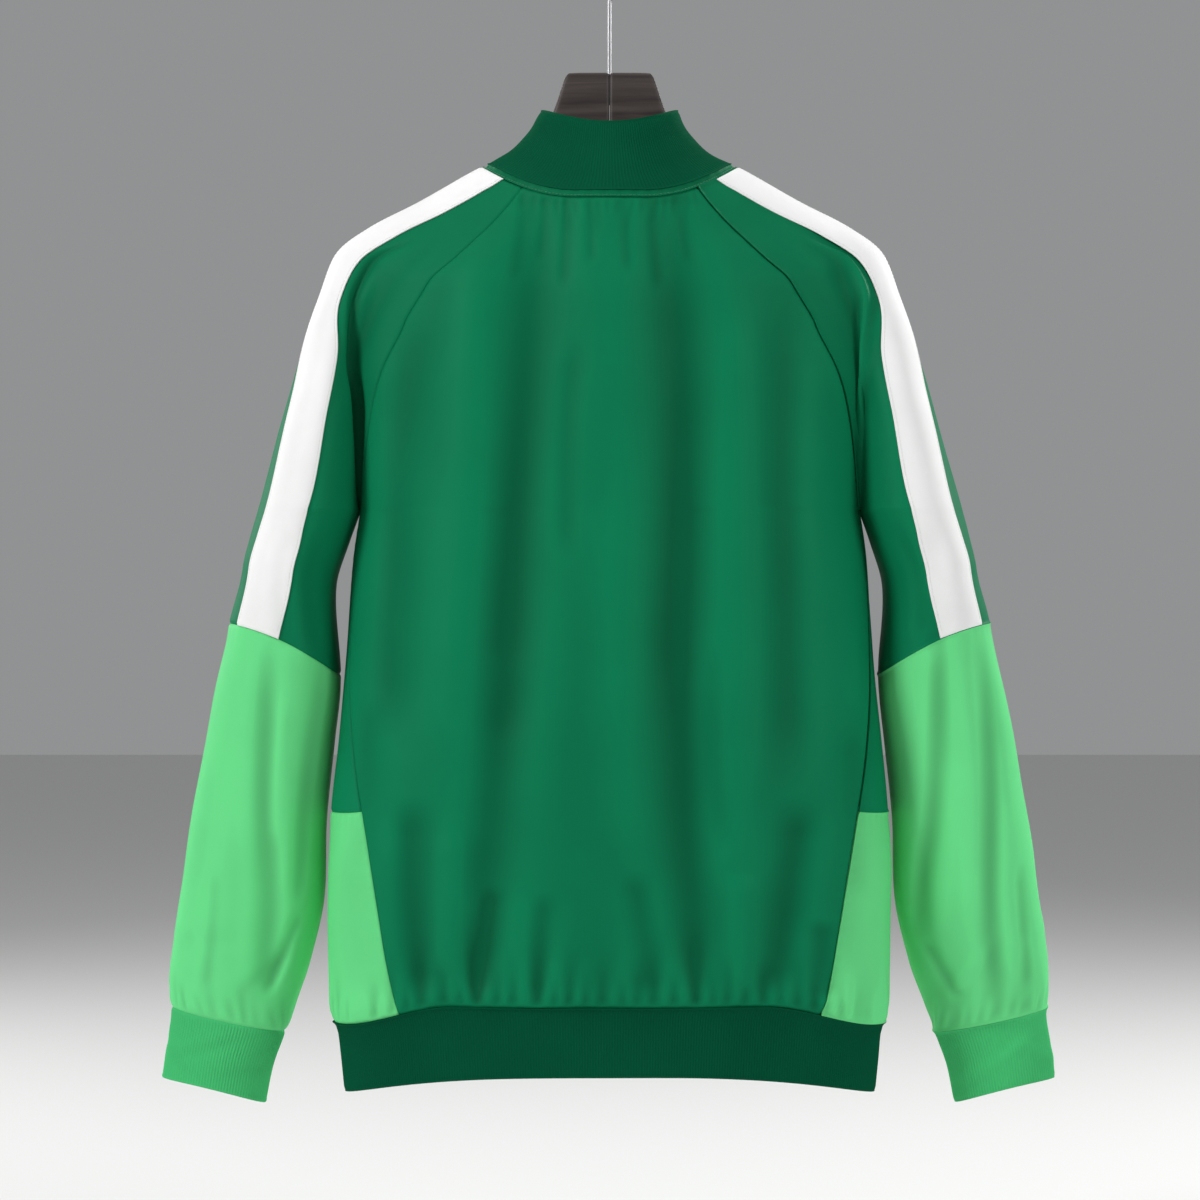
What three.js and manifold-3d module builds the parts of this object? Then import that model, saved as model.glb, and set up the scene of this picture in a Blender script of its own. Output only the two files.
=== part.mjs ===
// A full-zip raglan track jacket, filled out and hanging on a contoured wooden hanger. Millimetres.
// +Z is up, the jacket's front faces -Y and +X is the wearer's left. The origin is the point where
// the hook hangs on its rod, so every height is given as a drop below that point.
import * as THREE from "three";
import { mergeVertices } from "three/addons/utils/BufferGeometryUtils.js";
import Module from "manifold-3d";

const wasm = await Module();
wasm.setup();

// A table with named columns, and a row for each section, ring or fold
const table = (names, ...rows) =>
  rows.map((row) => Object.fromEntries(names.split(" ").map((name, i) => [name, row[i]])));

// Cloth thicknesses and the seam between two pieces
const JERSEY = 1.2;
const RIB = 2.0;
const COLLAR_CLOTH = 2.6;
const TAPE = 0.8;
const SEAM_GAP = 0.34;

// Widths along the cloth
const BINDING_WIDTH = 5.5;
const BAND_WIDTH = 42;
const ZIP_HALF_OPENING = 4;

// Drops of the main levels
const ARMPIT_DROP = 448;
const HEM_SIDE_DROP = 845;
const SIDE_COLOUR_DROP = 682;

// The yoke, from the neck seam (v 0) to the armpit (v 1). outer is the shoulder ridge and then the
// sleeve's outer line, half the torso's half-width, and armInner the inner edge of the arm's lobe.
// raglan is the cloth between the valley at the armhole and the raglan seam.
const YOKE = table(
  "v outer outerDrop backDrop frontDrop half back front power root armInner armDepth valley raglan lean",
  [0.0, 94.5, 179.6, 206.5, 240, 94.5, 70, 78, 2.0, 0.5, 40, 0, 74, 14, 0],
  [0.07, 115, 191, 217, 249, 115, 74, 82, 2.2, 0.62, 50, 12, 92, 24, -1],
  [0.19, 150.5, 210, 236, 265, 150, 79, 87, 2.3, 0.7, 70, 20, 123, 36, -4],
  [0.31, 188, 229.8, 257, 283, 185, 83, 90, 2.4, 0.72, 100, 28, 156, 48, -7],
  [0.4, 212.5, 249, 277, 300, 206, 86, 92, 2.4, 0.72, 128, 35, 185, 58, -9],
  [0.5, 226, 284, 308, 324, 212, 88, 94, 2.4, 0.66, 176, 42, 198, 50, -10],
  [0.63, 240, 325, 343, 352, 209, 90, 95, 2.5, 0.58, 189, 49, 198, 32, -10],
  [0.755, 252, 366, 378, 384, 201, 91, 96, 2.6, 0.52, 191, 57, 194.5, 16, -10],
  [0.88, 263.5, 408, 414, 417, 196.5, 92, 96, 2.7, 0.48, 192.5, 62, 193.8, 10, -10],
  [1, 274.5, 448, 448, 448, 194, 92, 96, 2.8, 0.46, 194, 65, 194, 8, -10],
);

// The torso below the armpit, with the side panel's half-width measured round the cloth
const TORSO = table(
  "drop half back front power root sidePanel",
  [448, 194, 92, 96, 2.8, 0.46, 8],
  [487, 199.5, 93.5, 97, 2.75, 0.46, 13],
  [571, 205.7, 96, 99, 2.65, 0.47, 26],
  [627, 211, 98, 100, 2.6, 0.475, 43],
  [682, 216.5, 99, 101, 2.55, 0.48, 62],
  [736, 219, 99, 101, 2.5, 0.48, 76],
  [790, 218.5, 97.5, 99, 2.5, 0.48, 85],
  [829, 217, 95, 96, 2.5, 0.48, 90],
  [HEM_SIDE_DROP, 214.5, 92, 93, 2.5, 0.48, 92],
);
const HEM_SEAM = { back: 826, front: 832, side: HEM_SIDE_DROP };
const HEM_EDGE = { back: 879.5, front: 887, side: 899 };
const HEM_BAND = table(
  "t half back front",
  [0, 214.5, 92, 93],
  [0.12, 211, 89.5, 90.5],
  [0.5, 208.5, 87, 88],
  [1, 205.8, 85, 86],
);

// The sleeve below the armpit: rings of half-width across X and half-depth across Y, raised at
// their outer end by tilt, down to the cuff seam
const CUFF_SEAM_DROP = 847;
const SLEEVE = table(
  "drop centre half depth mid shear tilt bow",
  [448, 234.25, 40.25, 65, -7.7, -0.064, 0, 0],
  [470, 241.4, 38.4, 64.5, -8.6, -0.05, 0.08, 0],
  [500, 249.5, 36.5, 62.5, -10, -0.04, 0.2, 3],
  [556, 253.4, 43.4, 57, -14, 0, 0.46, 7.5],
  [610, 262.2, 47.1, 52.5, -18, 0, 0.4, 4],
  [674, 271.7, 50.3, 48, -22, 0, 0.33, 1],
  [740, 278.6, 54.6, 44, -26, 0, 0.27, 0],
  [790, 288.4, 53.1, 40, -30, 0, 0.235, 0],
  [825, 296.5, 49.3, 36, -33, 0, 0.22, 0],
  [CUFF_SEAM_DROP, 299.6, 44.7, 32, -34, 0, 0.215, 0],
);
const ELBOW_DROP = 556;
const CUFF = table(
  "t drop centre half depth mid tilt bow",
  [0, CUFF_SEAM_DROP, 299.6, 44.7, 32, -34, 0.215, 0],
  [0.1, 852, 300.4, 43.4, 30, -34.3, 0.215, 0.3],
  [0.5, 875.5, 306.4, 40.9, 28, -35.5, 0.232, 1.5],
  [1, 903, 311.2, 40, 26, -37, 0.248, 3],
);

// The stand collar, from the neck seam (t 0) to its top edge (t 1). rise is the share of the
// collar's own height that each ring has gained.
const COLLAR = table(
  "t rise half back front",
  [0, 0, 94.5, 70, 78],
  [0.26, 0.243, 76.5, 65, 74.5],
  [0.48, 0.469, 66.8, 61.5, 72.5],
  [0.7, 0.69, 59.5, 58.5, 71],
  [1, 1, 53.3, 56, 70],
);
const COLLAR_TOP = { back: 152, side: 137.8, front: 183 };

// Soft vertical folds of the torso, as troughs that run from one place across to another
const BACK_FOLDS = table(
  "topX topDrop lowX lowDrop width depth",
  [66, 215, 100, 560, 19, 5.5],
  [99, 520, 96, 812, 17, 5],
  [-42, 215, -38, 560, 19, 5.5],
  [-36, 520, -62, 812, 18, 5.5],
  [14, 480, 20, 800, 15, 3],
  [160, 330, 164, 590, 15, 3.5],
  [-128, 300, -140, 640, 18, 4],
  [148, 690, 152, 818, 14, 5],
  [-104, 700, -140, 800, 16, 5],
  [52, 690, 60, 816, 12, 4],
);
const FRONT_FOLDS = table(
  "topX topDrop lowX lowDrop width depth",
  [56, 290, 78, 800, 20, 5],
  [-60, 290, -74, 800, 19, 5],
  [118, 330, 136, 700, 18, 4.5],
  [-122, 330, -130, 740, 18, 4.5],
  [110, 690, 122, 815, 14, 4],
  [-104, 700, -112, 815, 14, 4],
);
// Folds of a sleeve, placed by their share of the ring's half-width from inner (-1) to outer (1)
const SLEEVE_FOLDS = table(
  "topAt topDrop lowAt lowDrop width depth",
  [0.3, 575, 0.2, 815, 0.2, 3.5],
  [-0.62, 560, -0.35, 812, 0.2, 4],
  [0.1, 470, -0.1, 560, 0.24, 3],
);
// Gathers: waves across one edge, biggest a little away from the seam
const GATHER_NEAR = 9;
const GATHER_FAR = 27;
const GATHER_END = 55;
const HEM_GATHERS = { back: 18, front: 9, side: 4, height: 2.1 };
const CUFF_GATHERS = { count: 12, height: 1.8 };
const NECK_GATHERS = { count: 9, height: 1.6 };

// Columns and rows of the panels' meshes
const COLUMNS_PER_GATHER = 4;
const BACK_COLUMNS = 20;
const FRONT_COLUMNS = 10;
const SIDE_COLUMNS = 6;
const VALLEY_COLUMNS = 3;
const ARM_BACK_COLUMNS = 3;
const BAND_COLUMNS = 4;
const ARM_FRONT_COLUMNS = 5;
const CUFF_COLUMNS = 20;
const CUFF_ROWS = [0.12, 0.5, 1];
const COLLAR_FRONT_COLUMNS = 7;
const COLLAR_BACK_COLUMNS = 8;
const COLLAR_ROWS = [1, 0.7, 0.44, 0.2];
const HEM_ROWS = [0, 0.14, 0.55, 1];

// How far behind the outer line the sleeve band's back edge lies, as the sleeve hangs down
const SLEEVE_BAND = table(
  "drop back",
  [179, 47],
  [210, 45],
  [249, 41.5],
  [284, 48],
  [325, 67],
  [366, 78],
  [448, 89.5],
  [500, 86.5],
  [575, 77],
);
const BAND_LIFT = 0.35;

// The front zip, following the front's middle line. Depths are behind the outer face of the cloth.
const ZIP = {
  tapeAcross: [0.4, 6.5, 13],
  tapeDepth: 3,
  chainHalf: 2.8,
  chainDepth: 0.6,
  chainWall: 2.1,
  boxHalf: 3.3,
  boxProud: 0.5,
  boxTop: 0.86,
};
const SLIDER = {
  t: 0.76,
  width: 9.2,
  length: 11,
  base: 0.4,
  top: 2.2,
  keelHalf: 2.4,
  keelBase: -0.25,
  legFrom: 3.6,
  legTo: 4.8,
  bridgeHalf: 1.3,
  bridgeUnder: 5.2,
  bridgeTop: 6.2,
};
const PULL = { width: 6.6, length: 27, thickness: 1.5, window: 6.2, windowWidth: 3.6, play: 0.45 };

// The hanger
const HOOK = {
  wire: 1.6,
  inner: 20,
  openAngle: -0.5,
  bendAngle: 4.19,
  arcSteps: 14,
  bendSteps: 4,
  stemTop: 55,
  holeDepth: 26,
  play: 0.35,
  sides: 8,
};
const HANGER_SIDES = 14;
const CREST_DROP = 108;
const HANGER = table(
  "x top low thick square",
  [0.2, 108, 196, 9, 5],
  [20, 108, 197, 9, 5],
  [31, 108.4, 198, 9, 5],
  [34, 111, 199, 9, 4.6],
  [37.5, 120, 200, 9.2, 4.2],
  [41, 130.5, 202, 9.4, 3.8],
  [45, 141, 204, 9.8, 3.5],
  [52, 154, 207, 10.4, 3.2],
  [62, 166, 211, 11.4, 3],
  [76, 176.5, 217, 13, 2.8],
);
const HANGER_ARM = table(
  "x sink height thick square",
  [98, 2.6, 38, 15, 2.5],
  [120, 2.4, 36, 17, 2.4],
  [145, 2.4, 34, 19, 2.3],
  [170, 2.4, 31, 20.5, 2.2],
  [186, 3.5, 25, 18.5, 2.1],
  [194, 6.5, 16, 14, 2],
  [198, 10, 7, 8, 2],
);

// Small helpers
const clamp = (x, low = 0, high = 1) => Math.min(high, Math.max(low, x));
const mix = (a, b, t) => a + (b - a) * t;
const smooth = (a, b, x) => {
  const t = clamp((x - a) / (b - a));
  return t * t * (3 - 2 * t);
};
const bell = (x) => Math.exp(-x * x);
const steps = (n) => Array.from({ length: n + 1 }, (_, i) => i / n);
const span = (from, to, n) => steps(n).map((t) => mix(from, to, t));

// A smooth curve through one column of a table, with no overshoot between its rows
function column(rows, at, key) {
  const x = rows.map((r) => r[at]);
  const y = rows.map((r) => r[key]);
  const slope = x.slice(1).map((_, i) => (y[i + 1] - y[i]) / (x[i + 1] - x[i]));
  const tangent = x.map((_, i) => {
    if (i === 0) return slope[0];
    if (i === x.length - 1) return slope[i - 1];
    const product = slope[i - 1] * slope[i];
    return product <= 0 ? 0 : (2 * product) / (slope[i - 1] + slope[i]);
  });
  return (value) => {
    const t = clamp(value, x[0], x[x.length - 1]);
    let i = 0;
    while (i < x.length - 2 && t > x[i + 1]) i++;
    const width = x[i + 1] - x[i];
    const s = (t - x[i]) / width;
    return (
      y[i] * (1 + 2 * s) * (1 - s) ** 2 +
      y[i + 1] * s * s * (3 - 2 * s) +
      tangent[i] * width * s * (1 - s) ** 2 -
      tangent[i + 1] * width * s * s * (1 - s)
    );
  };
}
function columns(rows, at) {
  const curves = {};
  for (const key of Object.keys(rows[0])) if (key !== at) curves[key] = column(rows, at, key);
  return (value) => Object.fromEntries(Object.entries(curves).map(([key, f]) => [key, f(value)]));
}

// A polyline that is read by the distance along it
class Trace {
  constructor(points) {
    this.points = points;
    this.arc = [0];
    for (let i = 1; i < points.length; i++)
      this.arc.push(this.arc[i - 1] + points[i].distanceTo(points[i - 1]));
    this.length = this.arc[this.arc.length - 1];
  }
  at(distance) {
    const d = clamp(distance, 0, this.length);
    let low = 0;
    let high = this.arc.length - 1;
    while (high - low > 1) {
      const middle = (low + high) >> 1;
      if (this.arc[middle] <= d) low = middle;
      else high = middle;
    }
    const t = (d - this.arc[low]) / (this.arc[high] - this.arc[low] || 1);
    return this.points[low].clone().lerp(this.points[high], t);
  }
  distanceToX(x) {
    const i = this.points.findIndex((p) => p.x >= x);
    if (i <= 0) return i === 0 ? 0 : this.length;
    const a = this.points[i - 1];
    const b = this.points[i];
    return mix(this.arc[i - 1], this.arc[i], (x - a.x) / (b.x - a.x));
  }
}

// Rows of the torso, each from the middle line round to the side, for the back (face 1) or front (-1)
const yoke = columns(YOKE, "v");
const torso = columns(TORSO, "drop");
const ROW_SAMPLES = 150;
const VALLEY_SOFTNESS = 8;
const OUTSIDE_SLOPE = 2;
const rowCache = new Map();

function foldDepth(folds, x, drop) {
  let depth = 0;
  for (const f of folds) {
    const t = (drop - f.topDrop) / (f.lowDrop - f.topDrop);
    const fade = smooth(-0.12, 0.12, t) * smooth(1.08, 0.86, t);
    depth += f.depth * fade * bell((x - mix(f.topX, f.lowX, clamp(t))) / f.width);
  }
  return depth;
}

// The share of the way from a row's middle drop to its side drop
const backRise = (s) => smooth(0.64, 1, s);
const frontRise = (s) => smooth(0.1, 1, s);
const hemRise = (s) => smooth(0.55, 1, s);

function yokeRow(v, face) {
  const r = yoke(v);
  const depth = face > 0 ? r.back : r.front;
  const middleDrop = face > 0 ? r.backDrop : r.frontDrop;
  const rise = face > 0 ? backRise : frontRise;
  const armHalf = (r.outer - r.armInner) / 2;
  const armCentre = r.outer - armHalf;
  const profile = (x) => {
    const s = x / r.half;
    const body = s < 1 ? depth * (1 - s ** r.power) ** r.root : -OUTSIDE_SLOPE * (x - r.half);
    const a = (x - armCentre) / armHalf;
    const off = Math.abs(a) - 1;
    const arm = off < 0 ? r.armDepth * Math.sqrt(1 - a * a) : -OUTSIDE_SLOPE * armHalf * off;
    return Math.max(body, arm, 0);
  };
  const sampled = (from, to, t) => {
    const x = mix(from, to, (1 - Math.cos(t * Math.PI)) / 2);
    return new THREE.Vector3(x, profile(x), 0);
  };
  const flat = new Trace([
    ...steps(ROW_SAMPLES).map((t) => sampled(0, r.valley, t)),
    ...steps(ROW_SAMPLES).slice(1).map((t) => sampled(r.valley, r.outer, t)),
  ]);
  const even = v === 1 ? flat.points : steps(ROW_SAMPLES).map((t) => flat.at(t * flat.length));
  const gap = flat.length / ROW_SAMPLES;
  const softness = VALLEY_SOFTNESS * Math.sqrt(Math.max(0, 1 - v));
  const valleyArc = flat.distanceToX(r.valley);
  const reach = Math.ceil((2.5 * softness) / gap);
  const softened = even.map((p, i) => {
    if (v === 1 || i === 0 || i === ROW_SAMPLES) return p;
    const sum = new THREE.Vector3();
    let weights = 0;
    for (let k = -reach; k <= reach; k++) {
      const j = i + k;
      const over = j > ROW_SAMPLES ? 2 * ROW_SAMPLES - j : Math.abs(j);
      const q = even[over].clone();
      if (j > ROW_SAMPLES) q.y = -q.y;
      if (j < 0) q.x = -q.x;
      const weight = bell((k * gap) / softness / Math.SQRT2);
      sum.addScaledVector(q, weight);
      weights += weight;
    }
    return p.clone().lerp(sum.divideScalar(weights), bell((i * gap - valleyArc) / 30));
  });
  const points = softened.map((p) => {
    const s = p.x / r.outer;
    return new THREE.Vector3(p.x, r.lean * s * s + face * p.y, -mix(middleDrop, r.outerDrop, rise(s)));
  });
  const trace = new Trace(points);
  const valley = trace.distanceToX(r.valley);
  return { trace, valley, seam: valley - r.raglan };
}

function torsoRow(w, face) {
  const r = torso(mix(ARMPIT_DROP, HEM_SIDE_DROP, w));
  const depth = face > 0 ? r.back : r.front;
  const hem = face > 0 ? HEM_SEAM.back : HEM_SEAM.front;
  const last = YOKE[YOKE.length - 1];
  const lean = mix(last.lean * (r.half / last.outer) ** 2, 0, smooth(0, 0.6, w));
  const trace = new Trace(
    steps(ROW_SAMPLES).map((t) => {
      const s = Math.sin((t * Math.PI) / 2);
      const drop = mix(ARMPIT_DROP, mix(hem, HEM_SEAM.side, hemRise(s)), w);
      const y = depth * Math.max(0, 1 - s ** r.power) ** r.root;
      return new THREE.Vector3(r.half * s, lean * s * s + face * y, -drop);
    }),
  );
  return { trace, valley: trace.length, seam: trace.length - r.sidePanel };
}

// level 0 to 1 is the yoke, 1 to 2 the torso below the armpit
function row(level, face) {
  const key = `${level.toFixed(5)} ${face}`;
  if (!rowCache.has(key)) rowCache.set(key, level <= 1 ? yokeRow(level, face) : torsoRow(level - 1, face));
  return rowCache.get(key);
}

// A point of the torso or yoke, side 1 on the wearer's left and -1 on the right
function clothPoint(level, face, side, arc) {
  const p = row(level, face).trace.at(arc);
  p.x *= side;
  const s = clamp(arc / row(level, face).valley);
  const away = smooth(1, 0.82, s) * smooth(0, 0.07, level);
  p.y -= face * away * foldDepth(face > 0 ? BACK_FOLDS : FRONT_FOLDS, p.x, -p.z);
  return p;
}

// Rings of the sleeve below the armpit, read from the inner line (0) to the outer line (1)
const sleeve = columns(SLEEVE, "drop");
const cuff = columns(CUFF, "t");
function ringTrace(r, face, folds) {
  return new Trace(
    steps(60).map((t) => {
      const a = -Math.cos(t * Math.PI);
      let depth = r.depth * Math.sqrt(Math.max(0, 1 - a * a));
      for (const f of folds) {
        const g = (r.drop - f.topDrop) / (f.lowDrop - f.topDrop);
        const fade = smooth(-0.12, 0.15, g) * smooth(1.1, 0.88, g);
        depth -= f.depth * fade * bell((a - mix(f.topAt, f.lowAt, clamp(g))) / f.width) * (1 - a ** 6);
      }
      const x = r.centre + r.half * a;
      const y = r.mid + (r.shear ?? 0) * r.half * a + face * Math.max(depth, 0);
      return new THREE.Vector3(x, y, -r.drop + r.tilt * r.half * a + (r.bow ?? 0) * (1 - a * a));
    }),
  );
}

// Meshes of cloth: rows of vertices joined by triangles, then given a wall
class Panel {
  constructor(name, colour, wall) {
    Object.assign(this, { name, colour, wall, vertices: [], triangles: [], waves: [] });
  }
  // Adds a row of points and returns their numbers. A number stands for a vertex that exists.
  addRow(entries) {
    return entries.map((e) => (typeof e === "number" ? e : this.vertices.push(e) - 1));
  }
  addClosedRow(points) {
    const numbers = this.addRow(points);
    return [...numbers, numbers[0]];
  }
  // The share of a row's length that lies before each of its points
  shares(numbers) {
    const { arc, length } = new Trace(numbers.map((n) => this.vertices[n]));
    return arc.map((d) => d / length);
  }
  // Joins two rows, each with its own number of columns
  join(a, b) {
    const even = a.length === b.length;
    const upper = even ? a.map((_, i) => i) : this.shares(a);
    const lower = even ? b.map((_, i) => i) : this.shares(b);
    let i = 0;
    let j = 0;
    while (i < a.length - 1 || j < b.length - 1) {
      const nextUpper = i < a.length - 1 ? upper[i + 1] + upper[i] : Infinity;
      const nextLower = j < b.length - 1 ? lower[j + 1] + lower[j] : Infinity;
      if (nextUpper < nextLower - 1e-9) this.face(a[i], b[j], a[++i]);
      else this.face(a[i], b[j], b[++j]);
    }
  }
  face(a, b, c) {
    if (a !== b && b !== c && c !== a) this.triangles.push([a, b, c]);
  }
  addRows(rows) {
    rows.slice(1).forEach((r, i) => this.join(rows[i], r));
  }
  flip() {
    this.triangles = this.triangles.map(([a, b, c]) => [a, c, b]);
    return this;
  }
  areaNormal([a, b, c]) {
    const p = this.vertices[a];
    return this.vertices[b].clone().sub(p).cross(this.vertices[c].clone().sub(p));
  }
}

const panels = [];
// Keeps a panel, turned so that its faces look away from the axis or from the middle of a tube
function keep(panel, isTube = false) {
  const middle = new THREE.Vector3();
  for (const p of panel.vertices) middle.addScaledVector(p, 1 / panel.vertices.length);
  let facing = 0;
  for (const t of panel.triangles) {
    const p = panel.vertices[t[0]];
    facing += panel.areaNormal(t).dot(isTube ? p.clone().sub(middle) : new THREE.Vector3(p.x, p.y, 0));
  }
  if (facing < 0) panel.flip();
  panels.push(panel);
}
const UP = new THREE.Vector3(0, 0, 1);
const placeKey = (p) => [p.x, p.y, p.z].map((c) => Math.round(c * 50)).join(" ");

// Normals shared by every panel that meets at a seam, so that neighbouring walls stay parallel.
// The gathers are raised along them afterwards, and only the cloth inside a panel's edges is
// given new normals.
function cornerNormals(list, keyOf) {
  const sums = new Map();
  for (const panel of list)
    for (const t of panel.triangles) {
      const n = panel.areaNormal(t);
      for (const v of t) {
        const key = keyOf(panel, v);
        if (!sums.has(key)) sums.set(key, new THREE.Vector3());
        sums.get(key).add(n);
      }
    }
  return (panel) => panel.vertices.map((_, v) => (sums.get(keyOf(panel, v)) ?? UP).clone().normalize());
}
function borderEdges({ triangles }) {
  const edges = new Map();
  for (const [a, b, c] of triangles)
    for (const [p, q] of [[a, b], [b, c], [c, a]]) edges.set(`${p} ${q}`, [p, q]);
  return [...edges.values()].filter(([p, q]) => !edges.has(`${q} ${p}`));
}
function setNormals() {
  const shared = cornerNormals(panels, (panel, v) => placeKey(panel.vertices[v]));
  for (const panel of panels) panel.normals = shared(panel);
  for (const panel of panels) {
    for (const { numbers, heights } of panel.waves)
      numbers.forEach((n, i) => panel.vertices[n].addScaledVector(panel.normals[n], heights[i]));
    const own = cornerNormals([panel], (_, v) => v)(panel);
    const atBorder = new Set(borderEdges(panel).flat());
    panel.normals = panel.normals.map((n, v) => (atBorder.has(v) ? n : own[v]));
  }
}

// Two panels that meet must cut their edge's wall along the same diagonal
const comesFirst = (a, b) => (a.x - b.x || a.y - b.y || a.z - b.z) < 0;

// The wall between the panel's own face and one offset along the normals, stopping half a seam
// gap short of every edge
function wallGeometry(panel, outward = 0, wall = panel.wall, inset = SEAM_GAP / 2) {
  const { vertices, triangles, normals } = panel;
  const border = borderEdges(panel);
  const inward = new Map();
  for (const [p, q] of border) {
    const along = vertices[q].clone().sub(vertices[p]).normalize();
    for (const v of [p, q]) {
      const across = normals[v].clone().cross(along).normalize();
      if (!inward.has(v)) inward.set(v, []);
      inward.get(v).push(across);
    }
  }
  const placed = vertices.map((p, i) => {
    const moved = p.clone().addScaledVector(normals[i], outward);
    const ways = inward.get(i);
    if (!ways) return moved;
    const way = ways.reduce((sum, w) => sum.add(w), new THREE.Vector3()).normalize();
    return moved.addScaledVector(way, inset / Math.max(0.45, way.dot(ways[0])));
  });
  const inner = placed.map((p, i) => p.clone().addScaledVector(normals[i], -wall));
  const positions = [];
  const put = (...corners) => corners.forEach((p) => positions.push(p.x, p.y, p.z));
  for (const [a, b, c] of triangles) {
    put(placed[a], placed[b], placed[c]);
    put(inner[a], inner[c], inner[b]);
  }
  for (const [p, q] of border) {
    const diagonal = comesFirst(vertices[p], vertices[q]) ? [placed[p], inner[q]] : [placed[q], inner[p]];
    put(placed[q], placed[p], diagonal[1]);
    put(diagonal[0], inner[p], inner[q]);
  }
  return new THREE.BufferGeometry().setAttribute("position", new THREE.Float32BufferAttribute(positions, 3));
}

// Levels of the rows, from the binding's lower edge to the hem
const hemLength = HEM_SIDE_DROP - ARMPIT_DROP;
const colourLevel = 1 + (SIDE_COLOUR_DROP - ARMPIT_DROP) / hemLength;
const NECK_LEVEL = 0.02;
const FREE_LEVEL = 0.24;
const neckLevels = [NECK_LEVEL, 0.05, 0.1, 0.16];
const neckShare = [0, 1, 0.5];
const upperLevels = [...neckLevels, FREE_LEVEL, 0.32, 0.39, 0.45, 0.52, 0.61, 0.71, 0.81, 0.91, 1];
const torsoLevels = [1.05, 1.16, 1.31, 1.45, colourLevel, 1.73, 2 - GATHER_END / hemLength];
const gatherLevels = [2 - GATHER_FAR / hemLength, 2 - GATHER_NEAR / hemLength, 2];
const gatherShare = [0.55, 1, 0];

// A ring round the jacket is measured from the outer line: positive across the back and negative
// across the front. Its stretches lie between the seams, the armhole valleys and the sleeve band.
const bandBack = column(SLEEVE_BAND, "drop", "back");
function stretchEnds(level, stretch) {
  const back = row(level, 1);
  const front = row(level, -1);
  const band = level <= 1 ? bandBack(yoke(level).outerDrop) : 0;
  switch (stretch) {
    case "backPanel":
      return [back.trace.length, back.trace.length - back.seam];
    case "sideBack":
      return [back.trace.length - back.seam, back.trace.length - back.valley];
    case "armBack":
      return [back.trace.length - back.valley, band];
    case "band":
      return [band, band - BAND_WIDTH];
    case "armFront":
      return [band - BAND_WIDTH, front.valley - front.trace.length];
    case "sideFront":
      return [front.valley - front.trace.length, front.seam - front.trace.length];
    default:
      return [front.seam - front.trace.length, ZIP_HALF_OPENING - front.trace.length];
  }
}
const ringDistance = (level, [stretch, t]) => mix(...stretchEnds(level, stretch), t);
function pointAtDistance(level, side, distance) {
  const face = distance >= 0 ? 1 : -1;
  return clothPoint(level, face, side, row(level, face).trace.length - Math.abs(distance));
}
// The first rows under the neck bend to follow the binding, which has one width all round
function bentLevel(level, distance) {
  const face = distance >= 0 ? 1 : -1;
  const share = 1 - Math.abs(distance) / row(level, face).trace.length;
  const trial = 0.03;
  const from = row(0, face).trace;
  const to = row(trial, face).trace;
  const first = (trial * BINDING_WIDTH) / from.at(share * from.length).distanceTo(to.at(share * to.length));
  return mix(first, FREE_LEVEL, (level - NECK_LEVEL) / (FREE_LEVEL - NECK_LEVEL));
}
function ringPoint(level, side, place) {
  const free = level === 0 || level >= FREE_LEVEL;
  const bent = free ? level : bentLevel(level, ringDistance(level, place));
  return pointAtDistance(bent, side, ringDistance(bent, place));
}
const places = (stretch, count) => steps(count).map((t) => [stretch, t]);
// Stretches end to end, with each shared end listed once
const chain = (...lists) => lists.flatMap((list, i) => (i < lists.length - 1 ? list.slice(0, -1) : list));
const reversed = (list) => list.slice().reverse();

const GREEN = 0x0b6b45;
const RIB_GREEN = 0x07563a;
const LIGHT_GREEN = 0x63d983;
const LIGHT_RIB = 0x4ecb78;
const WHITE = 0xf2f2f0;
const WOOD = 0x524644;
const STEEL = 0xb9bcc0;
const DARK_TAPE = 0x07402b;
const SIDES = [1, -1];
const sideName = (side) => (side > 0 ? "left" : "right");

// A panel of the torso whose upper or lower rows carry gathers. place gives the row's points.
function torsoPanel(name, colour, place, { levels, coarse, hemWaves, neckWaves }) {
  const panel = new Panel(name, colour, JERSEY);
  const rows = [];
  const add = (level, count, waves, height) => {
    const numbers = panel.addRow(steps(count).map((t) => place(level, t)));
    rows.push(numbers);
    const heights = steps(count).map((t) => height * Math.sin(2 * Math.PI * waves * t));
    if (height > 0) panel.waves.push({ numbers, heights });
  };
  levels.forEach((level, i) => {
    const fine = neckWaves > 0 && i < neckShare.length;
    const count = fine ? neckWaves * COLUMNS_PER_GATHER : coarse;
    add(level, count, neckWaves, fine ? neckShare[i] * NECK_GATHERS.height : 0);
  });
  if (hemWaves > 0)
    gatherLevels.forEach((level, i) =>
      add(level, hemWaves * COLUMNS_PER_GATHER, hemWaves, gatherShare[i] * HEM_GATHERS.height),
    );
  panel.addRows(rows);
  keep(panel);
}

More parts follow.
